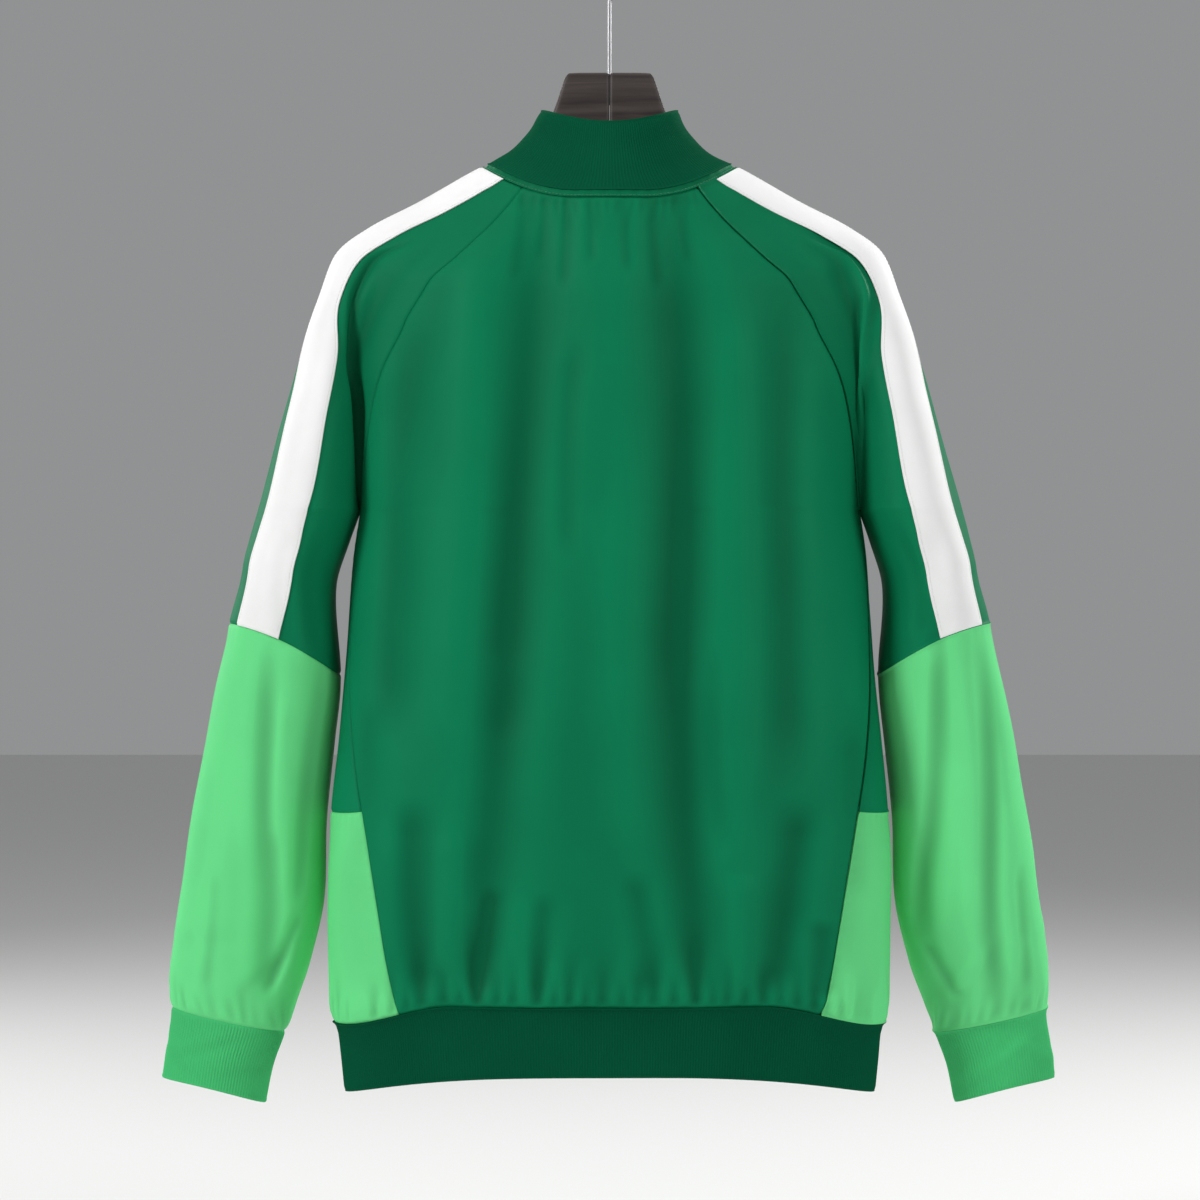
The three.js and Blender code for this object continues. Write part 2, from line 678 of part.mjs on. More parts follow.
const backPlace = (level, t) => ringPoint(level, t < 0.5 ? -1 : 1, ["backPanel", Math.abs(2 * t - 1)]);
torsoPanel("back_panel", GREEN, backPlace, {
  levels: [...upperLevels, ...torsoLevels],
  coarse: BACK_COLUMNS,
  hemWaves: HEM_GATHERS.back,
  neckWaves: NECK_GATHERS.count,
});
for (const side of SIDES) {
  const frontPlace = (level, t) => ringPoint(level, side, ["frontPanel", 1 - t]);
  torsoPanel(`front_panel_${sideName(side)}`, GREEN, frontPlace, {
    levels: [...upperLevels, ...torsoLevels],
    coarse: FRONT_COLUMNS,
    hemWaves: HEM_GATHERS.front,
    neckWaves: 0,
  });

  // The side panel is dark above its colour seam and light below
  const sidePlace = (level, t) =>
    ringPoint(level, side, t < 0.5 ? ["sideBack", 2 * t] : ["sideFront", 2 * t - 1]);
  torsoPanel(`side_panel_upper_${sideName(side)}`, GREEN, sidePlace, {
    levels: [1, ...torsoLevels.filter((level) => level <= colourLevel)],
    coarse: SIDE_COLUMNS,
    hemWaves: 0,
    neckWaves: 0,
  });
  torsoPanel(`side_panel_lower_${sideName(side)}`, LIGHT_GREEN, sidePlace, {
    levels: torsoLevels.filter((level) => level >= colourLevel),
    coarse: SIDE_COLUMNS,
    hemWaves: HEM_GATHERS.side,
    neckWaves: 0,
  });
}

// Sleeves: the raglan cap is open towards the body, and the tube below the armpit is closed
const armPlaces = chain(
  places("armBack", ARM_BACK_COLUMNS),
  places("band", BAND_COLUMNS),
  places("armFront", ARM_FRONT_COLUMNS),
);
const capPlaces = chain(places("sideBack", VALLEY_COLUMNS), armPlaces, places("sideFront", VALLEY_COLUMNS));
const upperTubeDrops = [464, 496, 526, ELBOW_DROP];
const lowerTubeDrops = [ELBOW_DROP, 590, 632, 674, 712, 750, CUFF_SEAM_DROP - GATHER_END];
const cuffGatherDrops = [CUFF_SEAM_DROP - GATHER_FAR, CUFF_SEAM_DROP - GATHER_NEAR, CUFF_SEAM_DROP];

const sleeveRing = (drop) => {
  const r = { ...sleeve(drop), drop };
  return { back: ringTrace(r, 1, SLEEVE_FOLDS), front: ringTrace(r, -1, SLEEVE_FOLDS) };
};
const mirrored = (p, side) => p.setX(p.x * side);
// The tube's points at the places of the cap above it, without the last, which closes the ring
function tubePoints(drop, side) {
  const { back, front } = sleeveRing(drop);
  const band = bandBack(drop);
  const ends = {
    armBack: [back.length, band],
    band: [band, band - BAND_WIDTH],
    armFront: [band - BAND_WIDTH, -front.length],
  };
  return armPlaces.slice(0, -1).map(([stretch, t]) => {
    const distance = mix(...ends[stretch], t);
    const trace = distance >= 0 ? back : front;
    return mirrored(trace.at(trace.length - Math.abs(distance)), side);
  });
}
// Points at even steps round a closed ring, from the inner line
function evenRing({ back, front }, side, count) {
  return steps(count).slice(0, -1).map((t) => {
    const p = t < 0.5 ? back.at(2 * t * back.length) : front.at((2 - 2 * t) * front.length);
    return mirrored(p, side);
  });
}

const sleevePanels = {};
for (const side of SIDES) {
  const cap = new Panel(`sleeve_upper_${sideName(side)}`, GREEN, JERSEY);
  const capRow = (level, list) => cap.addRow(list.map((place) => ringPoint(level, side, place)));
  const capRows = upperLevels.slice(0, -1).map((level) => capRow(level, capPlaces));
  const armpitPlaces = capPlaces.slice(0, -VALLEY_COLUMNS - 1);
  const tail = capPlaces.slice(-VALLEY_COLUMNS);
  const toArmpit = capRow(1, armpitPlaces);
  const armpit = toArmpit[VALLEY_COLUMNS];
  capRows.push([...toArmpit, armpit, ...capRow(1, tail)]);
  cap.addRows(capRows);
  const ring = [...toArmpit.slice(VALLEY_COLUMNS), armpit];
  cap.addRows([ring, ...upperTubeDrops.map((drop) => cap.addClosedRow(tubePoints(drop, side)))]);

  const forearm = new Panel(`sleeve_lower_${sideName(side)}`, LIGHT_GREEN, JERSEY);
  const rows = lowerTubeDrops.map((drop) => forearm.addClosedRow(tubePoints(drop, side)));
  const fine = CUFF_GATHERS.count * COLUMNS_PER_GATHER;
  cuffGatherDrops.forEach((drop, i) => {
    const closed = forearm.addClosedRow(evenRing(sleeveRing(drop), side, fine));
    const height = CUFF_GATHERS.height * gatherShare[i];
    const numbers = closed.slice(0, -1);
    const heights = numbers.map((_, k) => height * Math.sin((2 * Math.PI * k) / COLUMNS_PER_GATHER));
    forearm.waves.push({ numbers, heights });
    rows.push(closed);
  });
  forearm.addRows(rows);

  const ribCuff = new Panel(`cuff_${sideName(side)}`, LIGHT_RIB, RIB);
  const cuffRing = (t) => ({ back: ringTrace(cuff(t), 1, []), front: ringTrace(cuff(t), -1, []) });
  const seamRing = ribCuff.addClosedRow(evenRing(sleeveRing(CUFF_SEAM_DROP), side, fine));
  const lowerRings = CUFF_ROWS.map((t) => ribCuff.addClosedRow(evenRing(cuffRing(t), side, CUFF_COLUMNS)));
  ribCuff.addRows([seamRing, ...lowerRings]);
  for (const panel of [cap, forearm, ribCuff]) keep(panel, true);
  sleevePanels[side] = cap;
}

// Rings that stay open at the zip run from the front's left edge round the back to its right edge
function openRing(frontCount, backCount, middle) {
  const across = (stretch, count) => reversed(places(stretch, count));
  const left = chain(across("frontPanel", frontCount), middle, across("backPanel", backCount));
  return [...left.map((place) => [1, place]), ...reversed(left).slice(1).map((place) => [-1, place])];
}
const neckRing = openRing(FRONT_COLUMNS, (NECK_GATHERS.count * COLUMNS_PER_GATHER) / 2, reversed(capPlaces));
const binding = new Panel("neck_binding", GREEN, JERSEY);
const bindingRow = (level) => binding.addRow(neckRing.map(([side, place]) => ringPoint(level, side, place)));
binding.addRows([0, NECK_LEVEL].map(bindingRow));

// The collar rises from the neck seam (t 0) and narrows to its top edge (t 1)
const collarAt = columns(COLLAR, "t");
const neckHalf = COLLAR[0].half;
function collarPoint(side, distance, t) {
  const base = pointAtDistance(0, side, distance);
  if (t === 0) return base;
  const r = collarAt(t);
  const face = distance >= 0 ? 1 : -1;
  const open = face < 0 ? ZIP_HALF_OPENING : 0;
  const across = clamp((Math.abs(base.x) - open) / (neckHalf - open));
  const x = across > 0 ? mix(open, r.half, across) : Math.abs(base.x);
  const y = (face > 0 ? r.back : r.front) * Math.sqrt(1 - across ** 2);
  const topDrop = mix(face > 0 ? COLLAR_TOP.back : COLLAR_TOP.front, COLLAR_TOP.side, across ** 2);
  return new THREE.Vector3(side * x, face * y, mix(base.z, -topDrop, r.rise));
}
const collar = new Panel("collar", RIB_GREEN, COLLAR_CLOTH);
const coarseRing = openRing(COLLAR_FRONT_COLUMNS, COLLAR_BACK_COLUMNS, [
  ...chain(places("sideFront", 1).reverse(), places("armFront", 2).reverse(), places("band", 2).reverse()),
  ...chain(places("armBack", 2).reverse(), places("sideBack", 1).reverse()).slice(1),
]);
const collarRow = (ring, t) =>
  collar.addRow(ring.map(([side, place]) => collarPoint(side, ringDistance(0, place), t)));
collar.addRows([...COLLAR_ROWS.map((t) => collarRow(coarseRing, t)), collarRow(neckRing, 0)]);

// The hem band hangs from the hem seam (t 0) and draws in to its lower edge (t 1)
const hemAt = columns(HEM_BAND, "t");
const hemTop = HEM_BAND[0];
function hemPoint(side, distance, t) {
  const top = pointAtDistance(2, side, distance);
  if (t === 0) return top;
  const r = hemAt(t);
  const s = Math.abs(top.x) / hemTop.half;
  const onBack = distance >= 0;
  const seam = mix(onBack ? HEM_SEAM.back : HEM_SEAM.front, HEM_SEAM.side, hemRise(s));
  const edge = mix(onBack ? HEM_EDGE.back : HEM_EDGE.front, HEM_EDGE.side, s ** 3);
  const depth = onBack ? r.back / hemTop.back : r.front / hemTop.front;
  return new THREE.Vector3((top.x * r.half) / hemTop.half, top.y * depth, -mix(seam, edge, t));
}
const hem = new Panel("hem_band", RIB_GREEN, RIB);
const sideCount = (fine) => (fine ? HEM_GATHERS.side * COLUMNS_PER_GATHER : SIDE_COLUMNS) / 2;
const sideHalf = (stretch, fine) => reversed(places(stretch, sideCount(fine)));
const hemRing = (fine) =>
  openRing(
    fine ? HEM_GATHERS.front * COLUMNS_PER_GATHER : FRONT_COLUMNS,
    (fine ? HEM_GATHERS.back * COLUMNS_PER_GATHER : BACK_COLUMNS) / 2,
    chain(sideHalf("sideFront", fine), sideHalf("sideBack", fine)),
  );
const hemPlace = ([side, place], t) => hemPoint(side, ringDistance(2, place), t);
hem.addRows(HEM_ROWS.map((t) => hem.addRow(hemRing(t === 0).map((at) => hemPlace(at, t)))));
for (const panel of [binding, collar, hem]) keep(panel);
setNormals();

// The group of meshes
const jacket = new THREE.Group();
function addMesh(name, geometry, colour, roughness = 0.85, metalness = 0) {
  const material = new THREE.MeshStandardMaterial({ color: colour, roughness, metalness });
  const mesh = new THREE.Mesh(geometry, material);
  mesh.name = name;
  jacket.add(mesh);
  return mesh;
}
for (const panel of panels) addMesh(panel.name, wallGeometry(panel), panel.colour);

// The broad band sewn on each sleeve is made from the sleeve's own points, raised off its cloth
for (const side of SIDES) {
  const source = sleevePanels[side];
  const band = new Panel(`sleeve_band_${sideName(side)}`, WHITE, TAPE);
  const across = steps(BAND_COLUMNS).map((_, i) => i);
  const inCap = VALLEY_COLUMNS + ARM_BACK_COLUMNS;
  const numbers = upperLevels.slice(0, -1).map((_, i) => across.map((k) => i * capPlaces.length + inCap + k));
  const armpitRow = (upperLevels.length - 1) * capPlaces.length;
  numbers.push(across.map((k) => armpitRow + inCap + k));
  const firstTube = armpitRow + capPlaces.length - 1;
  upperTubeDrops.forEach((_, i) =>
    numbers.push(across.map((k) => firstTube + i * (armPlaces.length - 1) + ARM_BACK_COLUMNS + k)),
  );
  band.addRows(numbers.map((list) => band.addRow(list.map((n) => source.vertices[n].clone()))));
  band.normals = numbers.flat().map((n) => source.normals[n].clone());
  if (band.areaNormal(band.triangles[0]).dot(band.normals[0]) < 0) band.flip();
  addMesh(band.name, wallGeometry(band, BAND_LIFT + TAPE, TAPE, BAND_LIFT), WHITE);
}

// Strips that follow the front's middle line: the zip's tapes, its chain and its bottom box
function frontPoint([part, t], x) {
  const side = x < 0 ? -1 : 1;
  const edge = (level, across) => across - row(level, -1).trace.length;
  if (part === "hem") return hemPoint(side, edge(2, Math.abs(x)), t);
  if (part === "cloth") return pointAtDistance(t, side, edge(t, Math.abs(x)));
  const spread = (neckHalf - ZIP_HALF_OPENING) / (collarAt(t).half - ZIP_HALF_OPENING);
  const beyond = Math.max(0, Math.abs(x) - ZIP_HALF_OPENING) * spread;
  return collarPoint(side, edge(0, Math.min(Math.abs(x), ZIP_HALF_OPENING) + beyond), t);
}
const clothStations = [...torsoLevels, ...upperLevels.filter((level) => level >= FREE_LEVEL)]
  .sort((a, b) => b - a)
  .map((level) => ["cloth", level]);
const frontStations = (fromHem, toCollar) => [
  ["hem", fromHem],
  ["hem", 0.55],
  ["hem", 0.14],
  ["cloth", 2],
  ...clothStations,
  ["cloth", 0.12],
  ["cloth", 0],
  ...[0.2, 0.44, 0.7].map((t) => ["collar", t]),
  ["collar", toCollar],
];
function strip(name, colour, stations, across, depth, wall) {
  const panel = new Panel(name, colour, wall);
  panel.addRows(stations.map((station) => panel.addRow(across.map((x) => frontPoint(station, x)))));
  panel.normals = cornerNormals([panel], (_, v) => v)(panel);
  if (panel.normals[0].y > 0) {
    panel.flip();
    panel.normals.forEach((n) => n.negate());
  }
  return addMesh(name, wallGeometry(panel, -depth, wall, 0), colour);
}
for (const side of SIDES) {
  const across = ZIP.tapeAcross.map((x) => side * x);
  strip(`zip_tape_${sideName(side)}`, DARK_TAPE, frontStations(1, 0.95), across, ZIP.tapeDepth, TAPE);
}
const chainFaces = [-ZIP.chainHalf, ZIP.chainHalf];
strip("zip_chain", DARK_TAPE, frontStations(0.82, 0.93), chainFaces, ZIP.chainDepth, ZIP.chainWall);
const boxFaces = [-ZIP.boxHalf, ZIP.boxHalf];
const boxWall = ZIP.boxProud + ZIP.tapeDepth - SEAM_GAP;
strip("zip_box", STEEL, [["hem", 1], ["hem", ZIP.boxTop]], boxFaces, -ZIP.boxProud, boxWall);

// Solids that are joined or cut
function toSolid(geometry) {
  const loose = geometry.index ? geometry.toNonIndexed() : geometry;
  const flat = new THREE.BufferGeometry().setAttribute("position", loose.getAttribute("position"));
  const merged = mergeVertices(flat, 1e-4);
  return new wasm.Manifold(
    new wasm.Mesh({
      numProp: 3,
      vertProperties: merged.attributes.position.array,
      triVerts: new Uint32Array(merged.index.array),
    }),
  );
}
function toGeometry(solid) {
  const { vertProperties, triVerts } = solid.getMesh();
  return new THREE.BufferGeometry()
    .setAttribute("position", new THREE.BufferAttribute(vertProperties, 3))
    .setIndex(new THREE.BufferAttribute(triVerts, 1));
}
const box = (x0, x1, y0, y1, z0, z1) =>
  new THREE.BoxGeometry(x1 - x0, y1 - y0, z1 - z0).translate((x0 + x1) / 2, (y0 + y1) / 2, (z0 + z1) / 2);
const union = (...geometries) => geometries.map(toSolid).reduce((a, b) => a.add(b));

// The slider sits on the chain near the collar's top. Its frame has X across, Y up along the zip
// and Z out of the cloth, and a bridge that holds the pull tab's crossbar.
const sliderAt = frontPoint(["collar", SLIDER.t], 0);
const sliderUp = frontPoint(["collar", SLIDER.t + 0.1], 0).sub(sliderAt).normalize();
const sliderOut = new THREE.Vector3(1, 0, 0).cross(sliderUp);
const sliderFrame = new THREE.Matrix4()
  .makeBasis(new THREE.Vector3(1, 0, 0), sliderUp, sliderOut)
  .setPosition(sliderAt);
const { width, length, base, top, legFrom, legTo, bridgeHalf, bridgeUnder, bridgeTop } = SLIDER;
const plate = box(-width / 2, width / 2, -length / 2, length / 2, base, top);
const keelEnd = length / 2 - 1;
const keel = box(-SLIDER.keelHalf, SLIDER.keelHalf, -keelEnd, keelEnd, SLIDER.keelBase, base + 0.5);
const legs = [-1, 1].map((end) => {
  const ends = [end * legFrom, end * legTo].sort((a, b) => a - b);
  return box(-bridgeHalf, bridgeHalf, ...ends, top - 0.5, bridgeTop);
});
const bar = box(-bridgeHalf, bridgeHalf, -legTo, legTo, bridgeUnder, bridgeTop);
const sliderSolid = union(plate, keel, ...legs, bar);
addMesh("zip_slider", toGeometry(sliderSolid).applyMatrix4(sliderFrame), STEEL, 0.35, 1);

// The pull tab hangs from its crossbar, which lies at the low end of the bridge's window
const pinY = -legFrom + PULL.play + PULL.thickness / 2;
const pinZ = top + PULL.play + PULL.thickness / 2;
const tabOutline = new THREE.Shape();
const halfTab = PULL.width / 2;
tabOutline.moveTo(-halfTab, PULL.thickness / 2);
tabOutline.lineTo(-halfTab, -PULL.length + halfTab);
tabOutline.absarc(0, -PULL.length + halfTab, halfTab, Math.PI, 2 * Math.PI, false);
tabOutline.lineTo(halfTab, PULL.thickness / 2);
const window = new THREE.Path();
const windowTop = -PULL.thickness / 2;
window.moveTo(-PULL.windowWidth / 2, windowTop);
window.lineTo(PULL.windowWidth / 2, windowTop);
window.lineTo(PULL.windowWidth / 2, windowTop - PULL.window);
window.lineTo(-PULL.windowWidth / 2, windowTop - PULL.window);
tabOutline.holes.push(window);
const tabForm = { depth: PULL.thickness, bevelEnabled: false, curveSegments: 8 };
const tab = new THREE.ExtrudeGeometry(tabOutline, tabForm)
  .translate(0, pinY, pinZ - PULL.thickness / 2)
  .applyMatrix4(sliderFrame);
addMesh("zip_pull_tab", tab, STEEL, 0.35, 1);

// Sweeps a solid through rings of points, closed with flat ends
function sweep(rings) {
  const positions = [];
  const put = (...corners) => corners.forEach((p) => positions.push(p.x, p.y, p.z));
  const n = rings[0].length;
  rings.slice(1).forEach((ring, i) =>
    ring.forEach((p, k) => {
      const next = (k + 1) % n;
      put(rings[i][k], rings[i][next], ring[next]);
      put(rings[i][k], ring[next], p);
    }),
  );
  const cap = (ring) => {
    const middle = ring.reduce((sum, p) => sum.add(p), new THREE.Vector3()).divideScalar(n);
    ring.forEach((p, k) => put(middle, ring[(k + 1) % n], p));
  };
  cap(rings[0]);
  cap(reversed(rings[rings.length - 1]));
  return new THREE.BufferGeometry().setAttribute("position", new THREE.Float32BufferAttribute(positions, 3));
}
const turnedOut = (geometry) => {
  const p = geometry.getAttribute("position");
  let volume = 0;
  const at = (i) => new THREE.Vector3().fromBufferAttribute(p, i);
  for (let i = 0; i < p.count; i += 3) volume += at(i).dot(at(i + 1).cross(at(i + 2)));
  if (volume > 0) return geometry;
  for (let i = 0; i < p.count; i += 3) {
    const [b, c] = [at(i + 1), at(i + 2)];
    p.setXYZ(i + 1, c.x, c.y, c.z);
    p.setXYZ(i + 2, b.x, b.y, b.z);
  }
  return geometry;
};

// The wooden hanger: a tall crest at the neck and arms that lie just under the shoulder ridge
const ridgeDrop = column(YOKE, "outer", "outerDrop");
const ridgeLean = column(YOKE, "outer", "lean");
const power = (value, square) => Math.sign(value) * Math.abs(value) ** (2 / square);
function hangerRing(side, { x, top: high, low, thick, square }) {
  return steps(HANGER_SIDES).slice(0, -1).map((t) => {
    const angle = 2 * Math.PI * t;
    const y = (x < neckHalf ? 0 : ridgeLean(x)) + (thick / 2) * power(Math.cos(angle), square);
    const z = -(high + low) / 2 + ((low - high) / 2) * power(Math.sin(angle), square);
    return new THREE.Vector3(side * x, y, z);
  });
}
const armStations = HANGER_ARM.map((r) => {
  const armTop = ridgeDrop(r.x) + r.sink;
  return { ...r, top: armTop, low: armTop + r.height };
});
const holeRadius = HOOK.wire + HOOK.play;
const stemHole = new THREE.CylinderGeometry(holeRadius, holeRadius, 2 * HOOK.holeDepth, 16)
  .rotateX(Math.PI / 2)
  .translate(0, 0, -CREST_DROP);
for (const side of SIDES) {
  const body = turnedOut(sweep([...HANGER, ...armStations].map((station) => hangerRing(side, station))));
  const drilled = toSolid(body).subtract(toSolid(stemHole));
  addMesh(`hanger_half_${sideName(side)}`, toGeometry(drilled), WOOD, 0.6);
}

// The wire hook: an open arc over the rod, a bend back to the middle and a straight stem
const arcCentre = -HOOK.inner;
const arcRadius = HOOK.inner + HOOK.wire;
const hookPath = span(HOOK.openAngle, HOOK.bendAngle, HOOK.arcSteps).map(
  (angle) => new THREE.Vector2(arcRadius * Math.cos(angle), arcCentre + arcRadius * Math.sin(angle)),
);
const bendFrom = hookPath[hookPath.length - 1];
const bendWay = new THREE.Vector2(-Math.sin(HOOK.bendAngle), Math.cos(HOOK.bendAngle));
const corner = bendFrom.clone().addScaledVector(bendWay, -bendFrom.x / bendWay.x);
for (const t of steps(HOOK.bendSteps).slice(1)) {
  const a = bendFrom.clone().lerp(corner, t);
  hookPath.push(a.lerp(corner.clone().lerp(new THREE.Vector2(0, -HOOK.stemTop), t), t));
}
hookPath.push(new THREE.Vector2(0, -CREST_DROP - HOOK.holeDepth + HOOK.play));
const hookRings = hookPath.map((p, i) => {
  const ahead = hookPath[Math.min(i + 1, hookPath.length - 1)];
  const behind = hookPath[Math.max(i - 1, 0)];
  const along = ahead.clone().sub(behind).normalize();
  return steps(HOOK.sides).slice(0, -1).map((t) => {
    const across = HOOK.wire * Math.cos(2 * Math.PI * t);
    const proud = HOOK.wire * Math.sin(2 * Math.PI * t);
    return new THREE.Vector3(p.x + along.y * across, proud, p.y - along.x * across);
  });
});
addMesh("hanger_hook", turnedOut(sweep(hookRings)), STEEL, 0.3, 1);

export default jacket;
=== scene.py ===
import math

import bmesh
import bpy
import numpy as np
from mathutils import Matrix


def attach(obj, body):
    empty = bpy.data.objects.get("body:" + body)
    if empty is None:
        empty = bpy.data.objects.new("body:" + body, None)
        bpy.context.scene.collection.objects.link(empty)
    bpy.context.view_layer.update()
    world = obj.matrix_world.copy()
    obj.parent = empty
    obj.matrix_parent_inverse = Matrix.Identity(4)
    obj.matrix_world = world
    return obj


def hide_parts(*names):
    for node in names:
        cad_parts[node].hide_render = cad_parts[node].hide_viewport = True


MM = 0.001


def table(names, *rows):
    """A table with named columns, and a row for each section, ring or fold."""
    return dict(zip(names.split(), np.array(rows, float).T))


# The camera and the stage
def add_camera():
    data = bpy.data.cameras.new("photo_view")
    data.sensor_width = 36
    data.lens = 115.7
    camera = bpy.data.objects.new("photo_view", data)
    camera.location = (0.0074, 3.0, -0.518)
    camera.rotation_euler = (math.pi / 2, 0, math.pi)
    bpy.context.scene.collection.objects.link(camera)
    bpy.context.scene.camera = camera


def add_light(name, place, aim, size, power):
    data = bpy.data.lights.new(name, "AREA")
    data.shape = "RECTANGLE"
    data.size, data.size_y = size
    data.energy = power
    light = bpy.data.objects.new(name, data)
    light.location = place
    way = np.array(aim, float) - np.array(place, float)
    flat = math.hypot(way[0], way[1])
    light.rotation_euler = (math.atan2(flat, -way[2]), 0, math.atan2(-way[0], way[1]))
    bpy.context.scene.collection.objects.link(light)


# In metres and watts, as the frame's own axes have them
FLOOR = -1.12
FLOOR_SIZE = 24
MIDDLE = (0, 0, -0.5)
STUDIO_STRENGTH = 0.33
KEY_POWER = 62
FILL_POWER = 34
TOP_POWER = 14


def add_stage():
    bpy.ops.mesh.primitive_plane_add(size=FLOOR_SIZE, location=(0, 0, FLOOR))
    floor = bpy.context.object
    floor.name = "floor"
    paint = bpy.data.materials.new("floor_paint")
    paint.use_nodes = True
    shader = paint.node_tree.nodes["Principled BSDF"]
    shader.inputs["Base Color"].default_value = (0.78, 0.78, 0.77, 1)
    shader.inputs["Roughness"].default_value = 0.9
    floor.data.materials.append(paint)
    world = bpy.data.worlds.new("studio")
    world.use_nodes = True
    background = world.node_tree.nodes["Background"]
    background.inputs["Color"].default_value = (0.86, 0.87, 0.88, 1)
    background.inputs["Strength"].default_value = STUDIO_STRENGTH
    bpy.context.scene.world = world
    bpy.context.scene.view_settings.view_transform = "Standard"
    for face in (1, -1):
        add_light("key", (2.4 * face, 1.7 * face, 0.9), MIDDLE, (0.8, 1.6), KEY_POWER)
        add_light("fill", (-2.2 * face, 2.0 * face, 0.6), MIDDLE, (1.0, 1.8), FILL_POWER)
    add_light("top", (0, 0, 1.6), MIDDLE, (1.6, 1.6), TOP_POWER)


add_camera()
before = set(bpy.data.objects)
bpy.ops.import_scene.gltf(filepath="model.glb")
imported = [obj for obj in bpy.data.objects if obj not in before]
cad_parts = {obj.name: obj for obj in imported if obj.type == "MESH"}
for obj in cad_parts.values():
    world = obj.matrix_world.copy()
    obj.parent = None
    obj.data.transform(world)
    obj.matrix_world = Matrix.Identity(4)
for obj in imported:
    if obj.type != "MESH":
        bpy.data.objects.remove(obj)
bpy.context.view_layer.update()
add_stage()

# Cloth thicknesses and widths along the cloth
JERSEY = 1.2
RIB = 2.0
COLLAR_CLOTH = 2.6
TAPE = 0.8
BINDING_WIDTH = 5.5
BAND_WIDTH = 42
BAND_LIFT = 1.4
ZIP_HALF_OPENING = 4

# Drops of the main levels
ARMPIT_DROP = 448
HEM_SIDE_DROP = 845
SIDE_COLOUR_DROP = 682
ELBOW_DROP = 556
CUFF_SEAM_DROP = 847

# The yoke from the neck seam (v 0) to the armpit (v 1), as in the frame's solids
YOKE = table(
    "v outer outer_drop back_drop front_drop half back front power root"
    " arm_inner arm_depth valley raglan lean",
    [0.0, 94.5, 179.6, 206.5, 240, 94.5, 70, 78, 2.0, 0.5, 40, 0, 74, 14, 0],
    [0.07, 115, 191, 217, 249, 115, 74, 82, 2.2, 0.62, 50, 12, 92, 24, -1],
    [0.19, 150.5, 210, 236, 265, 150, 79, 87, 2.3, 0.7, 70, 20, 123, 36, -4],
    [0.31, 188, 229.8, 257, 283, 185, 83, 90, 2.4, 0.72, 100, 28, 156, 48, -7],
    [0.4, 212.5, 249, 277, 300, 206, 86, 92, 2.4, 0.72, 128, 35, 185, 58, -9],
    [0.5, 226, 284, 308, 324, 212, 88, 94, 2.4, 0.66, 176, 42, 198, 50, -10],
    [0.63, 240, 325, 343, 352, 209, 90, 95, 2.5, 0.58, 189, 49, 198, 32, -10],
    [0.755, 252, 366, 378, 384, 201, 91, 96, 2.6, 0.52, 191, 57, 194.5, 16, -10],
    [0.88, 263.5, 408, 414, 417, 196.5, 92, 96, 2.7, 0.48, 192.5, 62, 193.8, 10, -10],
    [1, 274.5, 448, 448, 448, 194, 92, 96, 2.8, 0.46, 194, 65, 194, 8, -10],
)
TORSO = table(
    "drop half back front power root side_panel",
    [448, 194, 92, 96, 2.8, 0.46, 8],
    [487, 199.5, 93.5, 97, 2.75, 0.46, 13],
    [571, 205.7, 96, 99, 2.65, 0.47, 26],
    [627, 211, 98, 100, 2.6, 0.475, 43],
    [682, 216.5, 99, 101, 2.55, 0.48, 62],
    [736, 219, 99, 101, 2.5, 0.48, 76],
    [790, 218.5, 97.5, 99, 2.5, 0.48, 85],
    [829, 217, 95, 96, 2.5, 0.48, 90],
    [HEM_SIDE_DROP, 214.5, 92, 93, 2.5, 0.48, 92],
)
HEM_SEAM = {1: 826, -1: 832}
HEM_EDGE = {1: 879.5, -1: 887}
HEM_EDGE_SIDE = 899
HEM_BAND = table(
    "t half back front",
    [0, 214.5, 92, 93],
    [0.12, 211, 89.5, 90.5],
    [0.5, 208.5, 87, 88],
    [1, 205.8, 85, 86],
)
SLEEVE = table(
    "drop centre half depth mid shear tilt bow",
    [448, 234.25, 40.25, 65, -7.7, -0.064, 0, 0],
    [470, 241.4, 38.4, 64.5, -8.6, -0.05, 0.08, 0],
    [500, 249.5, 36.5, 62.5, -10, -0.04, 0.2, 3],
    [556, 253.4, 43.4, 57, -14, 0, 0.46, 7.5],
    [610, 262.2, 47.1, 52.5, -18, 0, 0.4, 4],
    [674, 271.7, 50.3, 48, -22, 0, 0.33, 1],
    [740, 278.6, 54.6, 44, -26, 0, 0.27, 0],
    [790, 288.4, 53.1, 40, -30, 0, 0.235, 0],
    [825, 296.5, 49.3, 36, -33, 0, 0.22, 0],
    [CUFF_SEAM_DROP, 299.6, 44.7, 32, -34, 0, 0.215, 0],
)
CUFF = table(
    "t drop centre half depth mid shear tilt bow",
    [0, CUFF_SEAM_DROP, 299.6, 44.7, 32, -34, 0, 0.215, 0],
    [0.1, 852, 300.4, 43.4, 30, -34.3, 0, 0.215, 0.3],
    [0.5, 875.5, 306.4, 40.9, 28, -35.5, 0, 0.232, 1.5],
    [1, 903, 311.2, 40, 26, -37, 0, 0.248, 3],
)
COLLAR = table(
    "t rise half back front",
    [0, 0, 94.5, 70, 78],
    [0.26, 0.243, 76.5, 65, 74.5],
    [0.48, 0.469, 66.8, 61.5, 72.5],
    [0.7, 0.69, 59.5, 58.5, 71],
    [1, 1, 53.3, 56, 70],
)
COLLAR_TOP = {1: 152, -1: 183}
COLLAR_TOP_SIDE = 137.8
SLEEVE_BAND = table(
    "drop back",
    [179, 47],
    [210, 45],
    [249, 41.5],
    [284, 48],
    [325, 67],
    [366, 78],
    [448, 89.5],
    [500, 86.5],
    [575, 77],
)

